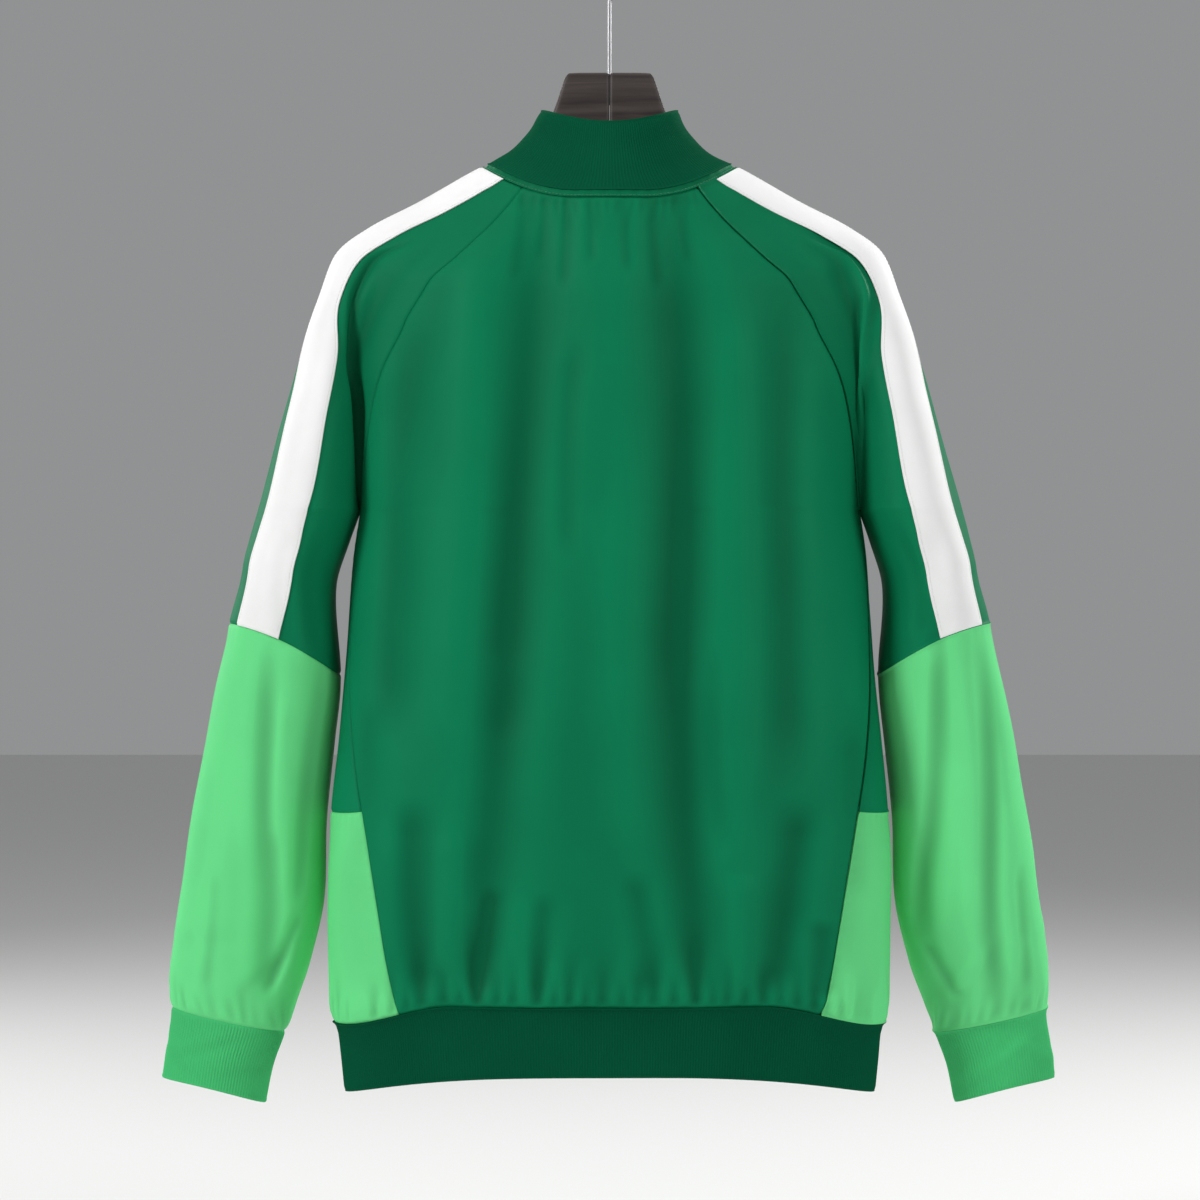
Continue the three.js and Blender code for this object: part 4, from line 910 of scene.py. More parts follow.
def joined(blocks):
    """Blocks of vertices and faces as one."""
    vertices, faces, count = [], [], 0
    for block_vertices, block_faces in blocks:
        vertices.append(block_vertices)
        faces += [[v + count for v in face] for face in block_faces]
        count += len(block_vertices)
    return np.vstack(vertices), faces


def from_axis(points):
    return points * (1, 1, 0)


def from_middle(points):
    return points - points.mean(0)


def outward_normals(points, outward):
    """Normals of a grid, turned to point the way that outward does."""
    normals = grid_normals(points)
    return -normals if (normals * outward(points)).sum() < 0 else normals


# Materials
def new_material(name, colour, roughness):
    material = bpy.data.materials.new(name)
    material.use_nodes = True
    nodes, links = material.node_tree.nodes, material.node_tree.links
    shader = nodes["Principled BSDF"]
    shader.inputs["Base Color"].default_value = (*colour, 1)
    shader.inputs["Roughness"].default_value = roughness
    return material, nodes, links, shader


def link_varied_colour(nodes, links, shader, colour, spread, scale, source="Object", stretch=(1, 1, 1)):
    """The base colour, a little darker and lighter in soft patches."""
    place = nodes.new("ShaderNodeTexCoord")
    mapping = nodes.new("ShaderNodeMapping")
    mapping.inputs["Scale"].default_value = stretch
    noise = nodes.new("ShaderNodeTexNoise")
    noise.inputs["Scale"].default_value = scale
    noise.inputs["Detail"].default_value = 4
    ramp = nodes.new("ShaderNodeValToRGB")
    ramp.color_ramp.elements[0].position = 0.3
    ramp.color_ramp.elements[1].position = 0.7
    ramp.color_ramp.elements[0].color = (*[c * (1 - spread) for c in colour], 1)
    ramp.color_ramp.elements[1].color = (*[min(1, c * (1 + spread)) for c in colour], 1)
    links.new(place.outputs[source], mapping.inputs["Vector"])
    links.new(mapping.outputs["Vector"], noise.inputs["Vector"])
    links.new(noise.outputs["Fac"], ramp.inputs["Fac"])
    links.new(ramp.outputs["Color"], shader.inputs["Base Color"])
    return noise


# Hollow depths that give the lightest and the darkest painted shade
DEEPEST_HOLLOW = 2.2
HIGHEST_RIDGE = -1.4


def paint_shade_in_hollows(nodes, links, shader, darkest=0.6, lightest=1.12):
    """Painted shade: the base colour is darkened in the folds' hollows, where less light reaches, and
    lightened a little on the ridges between them.
    """
    depth = nodes.new("ShaderNodeAttribute")
    depth.attribute_name = "hollow"
    share = nodes.new("ShaderNodeMapRange")
    share.inputs["From Min"].default_value = HIGHEST_RIDGE
    share.inputs["From Max"].default_value = DEEPEST_HOLLOW
    share.inputs["To Min"].default_value = lightest
    share.inputs["To Max"].default_value = darkest
    # Painted shade: the colour's value is scaled by the hollow's depth
    painted_shade = nodes.new("ShaderNodeHueSaturation")
    links.new(depth.outputs["Fac"], share.inputs["Value"])
    links.new(share.outputs["Result"], painted_shade.inputs["Value"])
    links.new(shader.inputs["Base Color"].links[0].from_socket, painted_shade.inputs["Color"])
    links.new(painted_shade.outputs["Color"], shader.inputs["Base Color"])


def wave(nodes, links, pitch, direction, distortion=0.0):
    """A wave along one direction of the cloth's own coordinates, with its pitch in metres."""
    place = nodes.new("ShaderNodeTexCoord")
    bands = nodes.new("ShaderNodeTexWave")
    bands.bands_direction = direction
    bands.inputs["Scale"].default_value = 2 * math.pi / (20 * pitch)
    bands.inputs["Distortion"].default_value = distortion
    links.new(place.outputs["UV"], bands.inputs["Vector"])
    return bands.outputs["Fac"]


def add_bump(nodes, links, shader, height, strength, distance):
    bump = nodes.new("ShaderNodeBump")
    bump.inputs["Strength"].default_value = strength
    bump.inputs["Distance"].default_value = distance
    links.new(height, bump.inputs["Height"])
    links.new(bump.outputs["Normal"], shader.inputs["Normal"])
    return bump


def combine(nodes, links, operation, a, b):
    node = nodes.new("ShaderNodeMath")
    node.operation = operation
    links.new(a, node.inputs[0])
    links.new(b, node.inputs[1])
    return node.outputs[0]


WALE = 0.0011
COURSE = 0.0008


def tricot(name, colour, roughness=0.5):
    """Smooth warp knit: fine wales down the cloth and courses across it, with a soft sheen."""
    material, nodes, links, shader = new_material(name, colour, roughness)
    shader.inputs["Sheen Weight"].default_value = 0.05
    shader.inputs["Sheen Roughness"].default_value = 0.4
    shader.inputs["Sheen Tint"].default_value = (*[c / max(colour) for c in colour], 1)
    shader.inputs["Specular IOR Level"].default_value = 0.035
    link_varied_colour(nodes, links, shader, colour, 0.05, 9)
    # Painted shade in the folds' hollows
    paint_shade_in_hollows(nodes, links, shader)
    wales = wave(nodes, links, WALE, "X", 0.6)
    courses = wave(nodes, links, COURSE, "Y", 0.6)
    height = combine(nodes, links, "MULTIPLY", wales, courses)
    add_bump(nodes, links, shader, height, 0.35, 0.00012)
    return material


def rib_knit(name, colour):
    """Rib: the ribs are in the mesh, and the stitches down them are fine relief."""
    material, nodes, links, shader = new_material(name, colour, 0.78)
    shader.inputs["Specular IOR Level"].default_value = 0.03
    link_varied_colour(nodes, links, shader, colour, 0.07, 14)
    # Painted shade in the hollows between ribs and folds
    paint_shade_in_hollows(nodes, links, shader, 0.7, 1.06)
    height = wave(nodes, links, COURSE * 1.6, "Y", 1.0)
    add_bump(nodes, links, shader, height, 0.4, 0.0002)
    return material


def woven(name, colour, roughness=0.7, pitch=0.0009):
    material, nodes, links, shader = new_material(name, colour, roughness)
    shader.inputs["Sheen Weight"].default_value = 0.15
    link_varied_colour(nodes, links, shader, colour, 0.03, 25)
    height = combine(nodes, links, "ADD", wave(nodes, links, pitch, "X"), wave(nodes, links, pitch, "Y"))
    add_bump(nodes, links, shader, height, 0.3, 0.00012)
    return material


def dark_wood(name):
    """Stained wood with a grain that runs along the hanger's arms."""
    colour = (0.05, 0.039, 0.036)
    material, nodes, links, shader = new_material(name, colour, 0.5)
    shader.inputs["Specular IOR Level"].default_value = 0.25
    shader.inputs["Coat Weight"].default_value = 0.06
    shader.inputs["Coat Roughness"].default_value = 0.3
    noise = link_varied_colour(nodes, links, shader, colour, 0.4, 14, stretch=(0.6, 6, 9))
    noise.inputs["Distortion"].default_value = 1.2
    add_bump(nodes, links, shader, noise.outputs["Fac"], 0.12, 0.0006)
    return material


def metal(name, colour, roughness, scale=180):
    material, nodes, links, shader = new_material(name, colour, roughness)
    shader.inputs["Metallic"].default_value = 1
    noise = link_varied_colour(nodes, links, shader, colour, 0.06, scale)
    add_bump(nodes, links, shader, noise.outputs["Fac"], 0.06, 0.0002)
    return material


def moulded(name, colour):
    material, nodes, links, shader = new_material(name, colour, 0.38)
    noise = link_varied_colour(nodes, links, shader, colour, 0.08, 120)
    add_bump(nodes, links, shader, noise.outputs["Fac"], 0.1, 0.0001)
    return material


GREEN = (0.003, 0.16, 0.068)
RIB_GREEN = (0.001, 0.08, 0.036)
LIGHT_GREEN = (0.12, 0.6, 0.215)
LIGHT_RIB_GREEN = (0.065, 0.52, 0.175)
WHITE = (0.79, 0.79, 0.785)
green_tricot = tricot("green_tricot", GREEN)
light_tricot = tricot("light_tricot", LIGHT_GREEN, 0.55)
green_rib = rib_knit("green_rib", RIB_GREEN)
light_rib = rib_knit("light_rib", LIGHT_RIB_GREEN)
white_band = woven("white_band", WHITE)
zip_tape = woven("zip_tape", RIB_GREEN)
zip_moulding = moulded("zip_chain", RIB_GREEN)
zip_metal = metal("zip_metal", (0.55, 0.56, 0.58), 0.32)
hook_wire = metal("hook_wire", (0.3, 0.3, 0.31), 0.3)
wood = dark_wood("dark_wood")
green_thread = woven("green_thread", [c * 0.8 for c in GREEN], 0.5, 0.0004)
light_thread = woven("light_thread", [c * 0.9 for c in LIGHT_GREEN], 0.5, 0.0004)
white_thread = woven("white_thread", (0.72, 0.72, 0.71), 0.5, 0.0004)

# Each cloth piece rides on the garment and stands for its node, which is hidden. Its flat cut is worked out
# but not passed on.
CLOTH_TAKE_UP = 1.01
LEAST_SHEET = 0.0101


def declare(obj, cloth, node):
    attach(obj, "garment")
    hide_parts(node)
    width, length = (side * CLOTH_TAKE_UP * MM for side in cloth.flat_size)
    area = cloth.flat_area * MM * MM
    flat = (width, max(length, area / width, LEAST_SHEET))


PANEL_GAP = 3.4
ROW_GAP = 3.5


def panel_relief(face, points, distance, levels, edges):
    """Relief of a torso panel. edges are distances to its side seams."""
    length = row_lengths(levels, face)
    side = np.sign(points[..., 0])
    along = side * (length - np.abs(distance))
    drop = -points[..., 2]
    down = down_cloth(points)
    above = down[-1] - down
    relief = unevenness(along, drop, 0.4) * smooth(0, 30, edges)
    relief += seam_dip(edges) + puckers(drop, edges)
    return relief, along, down, above


def add_back_panel():
    cloth = Cloth("back_panel_cloth")
    levels = levels_between(NECK_LEVEL, 2, ROW_GAP)
    half = fractions_between(210, PANEL_GAP, start=False)
    halves = {side: ring_grid(levels, side, "back_panel", half) for side in (1, -1)}
    join = lambda k: np.concatenate([halves[-1][k][:, :0:-1], halves[1][k]], 1)
    points, distance = join(0), join(1)
    seams = row_lengths(levels, 1, "seam")
    edges = np.clip(seams - (row_lengths(levels, 1) - distance), 0, None)
    relief, along, down, above = panel_relief(1, points, distance, levels, edges)
    relief += seam_dip(down) + seam_dip(above) + hem_relief(1, along, above)
    relief += gathers(along, down, uneven_places(-72, 72, 9), 1, 32, 2.3)
    cloth.add(points, relief, cloth_uv(along, down))
    obj = cloth.build(JERSEY, green_tricot, outward=from_axis)
    declare(obj, cloth, "back_panel")


def add_front_panel(side, name):
    cloth = Cloth(f"front_panel_{name}_cloth")
    levels = levels_between(NECK_LEVEL, 2, ROW_GAP)
    points, distance = ring_grid(levels, side, "front_panel", fractions_between(200, PANEL_GAP))
    ends = np.array([stretch_ends(v, "front_panel") for v in levels])
    to_raglan = np.abs(distance - ends[:, :1])
    to_zip = np.abs(ends[:, 1:] - distance)
    relief, along, down, above = panel_relief(-1, points, distance, levels, to_raglan)
    relief += seam_dip(down) + seam_dip(above) + hem_relief(-1, along, above)
    relief += gathers(along, down, uneven_places(-84, 84, 10), 1, 34, 2.5)
    relief += puckers(-points[..., 2], to_zip, 0.4, 26) + 0.5 * bell((to_zip - 3) / 3)
    relief -= 0.35 * bell((to_zip - 6.5) / 0.8)
    cloth.add(points, relief, cloth_uv(along, down))
    obj = cloth.build(JERSEY, green_tricot, outward=from_axis)
    declare(obj, cloth, f"front_panel_{name}")


def add_side_panel(side, name, part, low, high, material):
    cloth = Cloth(f"side_panel_{part}_{name}_cloth")
    levels = levels_between(low, high, ROW_GAP)
    length = 92 if part == "lower" else 50
    shares = fractions_between(length, PANEL_GAP, end=False)
    back = ring_grid(levels, side, "side_back", shares)
    front = ring_grid(levels, side, "side_front", 1 - shares[::-1])
    points = np.concatenate([back[0], front[0][:, 1:]], 1)
    distance = np.concatenate([back[1], front[1][:, 1:]], 1)
    edges = from_sides(distance)
    lengths = {face: row_lengths(levels, face) for face in (1, -1)}
    on_back = distance >= 0
    along = side * np.where(on_back, lengths[1] - distance, lengths[-1] + distance)
    down = down_cloth(points)
    above = down[-1] - down
    drop = -points[..., 2]
    inside = smooth(0, 30, edges) * smooth(0, 20, above) * smooth(0, 20, down)
    relief = unevenness(distance + 300, drop, 0.4) * inside
    relief += seam_dip(edges) + puckers(drop, edges) + seam_dip(down) + seam_dip(above)
    relief += puckers(distance, above, 0.2, 8) + puckers(distance, down, 0.2, 8)
    if part == "lower":
        relief += np.where(on_back, hem_relief(1, along, above), hem_relief(-1, along, above))
    cloth.add(points, relief, cloth_uv(distance, down))
    obj = cloth.build(JERSEY, material, outward=from_axis)
    declare(obj, cloth, f"side_panel_{part}_{name}")


# Sleeves
ARM_COLUMNS = 96
FOREARM_COLUMNS = 120
CUFF_GATHER_PLACES = uneven_places(-118, 118, 12)


def upper_tube_drops():
    length = ELBOW_DROP - ARMPIT_DROP
    return mix(ARMPIT_DROP, ELBOW_DROP, fractions_between(length, ROW_GAP, start=False))


def tube_grid(drops, side, shares):
    """Points of the sleeve's tube for each share of the way round from the inner line."""
    points, distances = [], []
    for drop in drops:
        rings = tube_rings(drop, side)
        distance = mix(rings[1].length, -rings[-1].length, shares)
        points.append(on_rings(rings, distance))
        distances.append(distance)
    return np.array(points), np.array(distances)


def closed_normals(points):
    """Normals of a closed tube, equal where its first and last columns meet."""
    longer = np.concatenate([points[:, -3:-1], points, points[:, 1:3]], 1)
    return grid_normals(longer)[:, 2:-2]


def cap_relief(distance, down):
    """Relief of the upper sleeve, used by the white band that lies on it too."""
    relief = unevenness(distance + 40, down, 0.45) * smooth(0, 12, down)
    relief -= 1.1 * bell((distance - 70 - 0.05 * down) / 9) * smooth(60, 120, down) * smooth(330, 220, down)
    relief += 0.9 * bell((distance - 30) / 12) * smooth(40, 90, down) * smooth(260, 200, down)
    return relief


def armpit_share(distance):
    """1 where the sleeve's last row above the armpit meets only the crease."""
    valley = row(1, 1)["trace"].length - row(1, 1)["valley"]
    return smooth(valley - 16, valley - 4, np.abs(distance))


def armhole_crease(levels, distance):
    """The deep crease where the sleeve leaves the body, on the back and the front."""
    relief = np.zeros_like(distance)
    deep = 7.5 * smooth(0.26, 0.5, np.array(levels))[:, None]
    wide = mix(3.5, 5, smooth(0.3, 1, np.array(levels)))[:, None]
    for face in (1, -1):
        valley = row_lengths(levels, face) - row_lengths(levels, face, "valley")
        relief -= deep * bell((face * distance - valley - 1) / wide)
    return relief


def add_sleeve(side, name):
    # Less painted shade on the upper sleeve, whose valley at the yoke is broad and deep
    upper = Cloth(f"sleeve_upper_{name}_cloth", 0.4)
    levels = levels_between(NECK_LEVEL, 1, ROW_GAP)
    side_shares = fractions_between(40, 3, end=False)
    arm_shares = np.linspace(0, 1, ARM_COLUMNS + 1)
    parts = [
        ring_grid(levels, side, "side_back", side_shares),
        ring_grid(levels, side, "arm", arm_shares),
        ring_grid(levels, side, "side_front", 1 - side_shares[::-1]),
    ]
    points = np.concatenate([parts[0][0], parts[1][0][:, 1:], parts[2][0][:, 1:]], 1)
    distance = np.concatenate([parts[0][1], parts[1][1][:, 1:], parts[2][1][:, 1:]], 1)
    down = down_cloth(points)
    edges = from_sides(distance)
    relief = cap_relief(distance, down) * smooth(0, 25, edges)
    relief += seam_dip(edges) + puckers(down, edges) + seam_dip(down)
    relief += armhole_crease(levels, distance) * smooth(0, 8, edges)
    relief *= mix(1, smooth(0, 10, np.abs(down - down[-1])), armpit_share(distance))
    normals = grid_normals(points)
    first = len(side_shares) - 1
    arm = slice(first, first + ARM_COLUMNS + 1)
    upper.add(points, relief, cloth_uv(distance, down), normals)

    drops = upper_tube_drops()
    tube, tube_distance = tube_grid(drops, side, arm_shares)
    blend = smooth(0.12, 0, (drops - ARMPIT_DROP) / (ELBOW_DROP - ARMPIT_DROP))[:, None]
    tube_distance = mix(tube_distance, distance[-1, arm], blend)
    tube[0] = points[-1, arm]
    tube_down = down[-1, arm] + down_cloth(tube)
    above = tube_down[-1] - tube_down
    tube_relief = cap_relief(tube_distance, tube_down) * smooth(0, 14, above)
    closing = smooth(0, 12, from_sides(tube_distance))
    tube_relief = tube_relief * closing + seam_dip(above) + puckers(tube_distance, above)
    tube_relief[0] = relief[-1, arm]
    tube_normals = closed_normals(tube)
    tube_normals[0] = normals[-1, arm]
    upper.add(tube, tube_relief, cloth_uv(tube_distance, tube_down), tube_normals)
    obj = upper.build(JERSEY, green_tricot, outward=from_middle)
    upper.flat_size[0] = max(np.linalg.norm(np.diff(points, axis=1), axis=2).sum(1))
    declare(obj, upper, f"sleeve_upper_{name}")
    add_forearm(side, name)
    add_cuff(side, name)
    add_sleeve_band(side, name)


FOREARM_ROUND = 240
FOREARM_CREASES = table(
    "place height reach slant depth",
    [92, 44, 20, 0.9, 1.3],
    [30, 60, 40, 0.3, 0.8],
    [-60, 46, 40, 0.4, 1],
)


def add_forearm(side, name):
    cloth = Cloth(f"sleeve_lower_{name}_cloth")
    length = CUFF_SEAM_DROP - ELBOW_DROP
    drops = mix(ELBOW_DROP, CUFF_SEAM_DROP, fractions_between(length, 3.4))
    points, distance = tube_grid(drops, side, np.linspace(0, 1, FOREARM_COLUMNS + 1))
    down = down_cloth(points)
    above = down[-1] - down
    closing = from_sides(distance)
    relief = unevenness(distance * 1.1 + 60 * side, down + 50 * side, 0.5)
    relief *= smooth(0, 18, down) * smooth(0, 12, above) * smooth(0, 12, closing)
    relief += seam_dip(down) + seam_dip(above) + puckers(distance, down)
    scale = FOREARM_ROUND / (distance[-1, 0] - distance[-1, -1])
    bulge = 1.6 * smooth(0, 9, above) * np.exp(-above / 24)
    relief += bulge + gathers(distance * scale, above, CUFF_GATHER_PLACES, 1.7, 34, 3) * smooth(0, 8, closing)
    relief += forearm_creases(side, distance, above)
    cloth.add(points, relief, cloth_uv(distance, down), closed_normals(points))
    obj = cloth.build(JERSEY, light_tricot, outward=from_middle)
    declare(obj, cloth, f"sleeve_lower_{name}")


def forearm_creases(side, distance, above):
    """Slack cloth that rests on the cuff in a few slanting creases."""
    relief = np.zeros_like(distance)
    for place, height, reach, slant, deep in zip(*FOREARM_CREASES.values()):
        off = distance - place - 6 * side
        across = above - height - slant * off * side
        relief -= deep * bell(across / 9) * bell(off / reach)
    return relief


# Rib knit: ribs round each piece, with a few columns of points to each rib
CUFF_RIBS = 96
COLLAR_RIBS = 190
HEM_RIBS = 480
RIB_SAMPLES = 4
CUFF_ROUND = 240
CUFF_CREASES = table(
    "place height slant depth",
    [70, 24, 0.42, 1.2],
    [105, 34, -0.5, 0.9],
    [175, 26, 0.4, 1],
    [30, 36, 0.3, 0.7],
)


def ribs(number, height):
    """Relief of the ribs, where number counts them."""
    return height * np.cos(2 * math.pi * number)


def add_cuff(side, name):
    cloth = Cloth(f"cuff_{name}_cloth")
    shares = np.linspace(0, 1, CUFF_RIBS * RIB_SAMPLES + 1)
    points = []
    for t in fractions_between(56, 3.4):
        r = cuff(t)
        rings = {face: ring_trace(r, side, face, NO_FOLDS) for face in (1, -1)}
        if t == 0:
            rings = tube_rings(CUFF_SEAM_DROP, side)
        distance = mix(rings[1].length, -rings[-1].length, shares)
        points.append(on_rings(rings, distance))
    points = np.array(points)
    down = down_cloth(points)
    below = down[-1] - down
    lap = shares * CUFF_ROUND
    relief = ribs(shares * CUFF_RIBS, 0.32) * smooth(0, 3, down) * smooth(0, 1.5, below) + seam_dip(down)
    relief += 0.5 * smooth(1, 5, down)
    for place, height, slant, deep in zip(*CUFF_CREASES.values()):
        off = lap - place
        crease = bell((down - height - slant * off * side) / 5.5) * bell(off / 24)
        relief -= deep * crease * smooth(0, 12, below)
    relief += 0.35 * bell((below - 1) / 1.5)
    cloth.add(points, relief, cloth_uv(lap, down), closed_normals(points))
    obj = cloth.build(RIB, light_rib, outward=from_middle)
    declare(obj, cloth, f"cuff_{name}")


def band_points(side):
    """The white band's grid, and its distances from the sleeve's outer line."""
    shares = fractions_between(BAND_WIDTH, 3)
    levels = levels_between(NECK_LEVEL, 1, ROW_GAP)
    cap, cap_distance = ring_grid(levels, side, "band", shares)
    tube, tube_distance = [], []
    for drop in upper_tube_drops()[1:]:
        rings = tube_rings(drop, side)
        distance = mix(band_back(drop), band_back(drop) - BAND_WIDTH, shares)
        tube.append(on_rings(rings, distance))
        tube_distance.append(distance)
    return np.vstack([cap, tube]), np.vstack([cap_distance, tube_distance])


def add_sleeve_band(side, name):
    cloth = Cloth(f"sleeve_band_{name}_cloth")
    points, distance = band_points(side)
    down = down_cloth(points)
    above = down[-1] - down
    edges = from_sides(distance)
    under = cap_relief(distance, down) * smooth(0, 14, above)
    relief = under + BAND_LIFT - 0.22 * bell((edges - 2) / 0.7) - 0.25 * bell(edges / 0.5)
    relief += seam_dip(above, 0.8) + seam_dip(down, 0.8)
    normals = outward_normals(points, from_middle)
    cloth.add(points, relief, cloth_uv(distance, down), normals)
    obj = cloth.build(TAPE, white_band, outward=from_middle)
    lines = []
    for edge in (2, BAND_WIDTH - 2):
        at = (distance[:, :1] - distance)[0]
        k = np.argmin(np.abs(at - edge))
        lines.append((points + normals * (relief + 0.12)[..., None])[2:-3, k])
    stitches = add_stitches(f"band_stitches_{name}", lines, white_thread)
    declare(obj, cloth, f"sleeve_band_{name}")


# Stitches: short threads laid end to end along a line
STITCH = 3.0
STITCH_FILL = 0.78
STITCH_SIDES = 5
THREAD_RADIUS = 0.24
THREAD_RINGS = table("at wide", [0, 0.45], [0.2, 1], [0.8, 1], [1, 0.45])
SHORTEST_THREAD = 0.2


def add_stitches(name, lines, material):
    turn = 2 * math.pi * np.arange(STITCH_SIDES)[:, None] / STITCH_SIDES
    threads = []
    for line in lines:
        trace = Trace(line)
        for i in range(int(trace.length // STITCH)):
            start, end = trace.at(np.array([i * STITCH, (i + STITCH_FILL) * STITCH]))
            along = end - start
            size = np.linalg.norm(along)
            if size < SHORTEST_THREAD:
                continue
            along /= size
            across = np.cross(along, (0.31, 0.52, 0.79))
            across /= np.linalg.norm(across)
            other = np.cross(along, across)
            circle = (across * np.cos(turn) + other * np.sin(turn)) * THREAD_RADIUS
            places = zip(*THREAD_RINGS.values())
            threads.append(loft([mix(start, end, at) + circle * wide for at, wide in places]))
    vertices, faces = joined(threads)
    obj = add_mesh(name, vertices * MM, faces, material)
    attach(obj, "garment")
    return obj


# Rings that stay open at the zip, from the front's left edge round the back to its right edge
def open_ring(level, count):
    front, back = row(level, -1)["trace"].length, row(level, 1)["trace"].length
    half = front - ZIP_HALF_OPENING + back
    lap = np.linspace(0, 2 * half, count)
    side = np.where(lap <= half, 1, -1)
    distance = np.minimum(lap, 2 * half - lap) - (front - ZIP_HALF_OPENING)
    return lap, side, distance


def ring_points(level, side, distance):
    p = np.empty((len(distance), 3))
    for s in (1, -1):
        p[side == s] = points_at(level, s, distance[side == s])
    return p


BINDING_COLUMNS = 420
BINDING_ROWS = 9
BINDING_THREAD_ROW = 6
BINDING_REACH = 0.06
BINDING_RINGS = 12


def add_binding():
    """The folded strip over the neck seam."""
    cloth = Cloth("neck_binding_cloth")
    lap, side, distance = open_ring(0, BINDING_COLUMNS)
    start = first_level(distance)
    fine = np.linspace(0, BINDING_REACH, BINDING_RINGS + 1)
    front, back = row(0, -1)["trace"].length, row(0, 1)["trace"].length
    share = np.where(distance >= 0, distance / back, distance / front)
    rings = []
    for v in fine:
        lengths = {f: row(v, f)["trace"].length for f in (1, -1)}
        rings.append(ring_points(v, side, np.where(share >= 0, share * lengths[1], share * lengths[-1])))
    rings = np.array(rings)
    at = np.arange(len(lap))
    rows = []
    ts = np.linspace(0, 1, BINDING_ROWS)
    for t in ts:
        place = np.clip(start * t / BINDING_REACH * BINDING_RINGS, 0, BINDING_RINGS - 1e-6)
        low = place.astype(int)
        rows.append(mix(rings[low, at], rings[low + 1, at], (place - low)[:, None]))
    points = np.array(rows)
    bulge = 0.9 * np.sin(math.pi * ts[:, None]) ** 0.7 - 0.35 * bell((ts[:, None] - 0.8) / 0.08)
    relief = np.broadcast_to(bulge, points.shape[:2]) + 0.12 * np.sin(lap / 1.7 + 0.8 * np.sin(lap / 13))
    relief = relief + np.where((ts == 0) | (ts == 1), -0.5, 0)[:, None]
    down = np.broadcast_to(ts[:, None] * BINDING_WIDTH, points.shape[:2])
    cloth.add(points, relief, cloth_uv(lap, down))
    obj = cloth.build(JERSEY, green_tricot, outward=from_axis)
    thread_rows = points + outward_normals(points, from_axis) * (relief + 0.1)[..., None]
    stitches = add_stitches("binding_stitches", [thread_rows[BINDING_THREAD_ROW, 2:-2]], green_thread)
    declare(obj, cloth, "neck_binding")


collar_at = columns(COLLAR, "t")
NECK_HALF = COLLAR["half"][0]


def collar_points(side, distance, t):
    base = ring_points(0, side, distance)
    if t == 0:
        return base
    r = collar_at(t)
    on_back = distance >= 0
    opening = np.where(on_back, 0, ZIP_HALF_OPENING)
    across = np.clip((np.abs(base[:, 0]) - opening) / (NECK_HALF - opening), 0, 1)
    x = np.where(across > 0, mix(opening, r["half"], across), np.abs(base[:, 0]))
    depth = np.where(on_back, r["back"], r["front"])
    y = depth * np.sqrt(1 - across**2) * np.where(on_back, 1, -1)
    top = mix(np.where(on_back, COLLAR_TOP[1], COLLAR_TOP[-1]), COLLAR_TOP_SIDE, across**2)
    return np.stack([side * x, y, mix(base[:, 2], -top, r["rise"])], 1)


def add_collar():
    cloth = Cloth("collar_cloth")
    lap, side, distance = open_ring(0, COLLAR_RIBS * RIB_SAMPLES + 1)
    ts = 1 - fractions_between(52, 3.3)
    points = np.array([collar_points(side, distance, t) for t in ts])
    down = down_cloth(points)
    above = down[-1] - down
    edge = np.minimum(lap, lap[-1] - lap)[None, :]
    number = np.linspace(0, COLLAR_RIBS, len(lap))
    relief = ribs(number, 0.3) * smooth(0, 3, down) * smooth(0, 3, above) * smooth(0, 6, edge)
    relief = relief + seam_dip(above, 1.0) + 0.4 * bell((down - 1.5) / 1.8) - 0.4 * bell(down / 0.5)
    inside = smooth(0, 14, above) * smooth(0, 10, down) * smooth(0, 12, edge)
    relief += 0.8 * np.sin(lap / 31 + 0.5)[None, :] * inside
    cloth.add(points, relief, cloth_uv(lap, down))
    obj = cloth.build(COLLAR_CLOTH, green_rib, outward=from_axis)
    declare(obj, cloth, "collar")


hem_at = columns(HEM_BAND, "t")
HEM_TOP = {"half": HEM_BAND["half"][0], 1: HEM_BAND["back"][0], -1: HEM_BAND["front"][0]}


def hem_points(side, distance, t):
    top = ring_points(2, side, distance)
    if t == 0:
        return top
    r = hem_at(t)
    s = np.abs(top[:, 0]) / HEM_TOP["half"]
    on_back = distance >= 0
    seam = mix(np.where(on_back, HEM_SEAM[1], HEM_SEAM[-1]), HEM_SIDE_DROP, hem_rise(s))
    edge = mix(np.where(on_back, HEM_EDGE[1], HEM_EDGE[-1]), HEM_EDGE_SIDE, s**3)
    depth = np.where(on_back, r["back"] / HEM_TOP[1], r["front"] / HEM_TOP[-1])
    return np.stack([top[:, 0] * r["half"] / HEM_TOP["half"], top[:, 1] * depth, -mix(seam, edge, t)], 1)


def add_hem_band():
    cloth = Cloth("hem_band_cloth")
    lap, side, distance = open_ring(2, HEM_RIBS * RIB_SAMPLES + 1)
    ts = fractions_between(54, 7)
    points = np.array([hem_points(side, distance, t) for t in ts])
    down = down_cloth(points)
    below = down[-1] - down
    edge = np.minimum(lap, lap[-1] - lap)[None, :]
    number = np.linspace(0, HEM_RIBS, len(lap))
    relief = ribs(number, 0.28) * smooth(0, 3, down) * smooth(0, 2, below) * smooth(0, 5, edge)
    relief = relief + seam_dip(down, 1.0) + 0.4 * bell((below - 1.2) / 1.6)
    drawn = np.sin(lap / 7.1 + 1.3 * np.sin(lap / 37)) * (0.6 + 0.4 * np.sin(lap / 61 + 1))
    relief = relief + 0.45 * drawn[None, :] * smooth(0, 8, down) * smooth(34, 10, down) * smooth(0, 10, edge)
    relief += 0.7 * np.sin(lap / 43 + 0.3)[None, :] * smooth(0, 14, down) * smooth(0, 12, edge)
    cloth.add(points, relief, cloth_uv(lap, down))
    obj = cloth.build(RIB, green_rib, outward=from_axis)
    declare(obj, cloth, "hem_band")


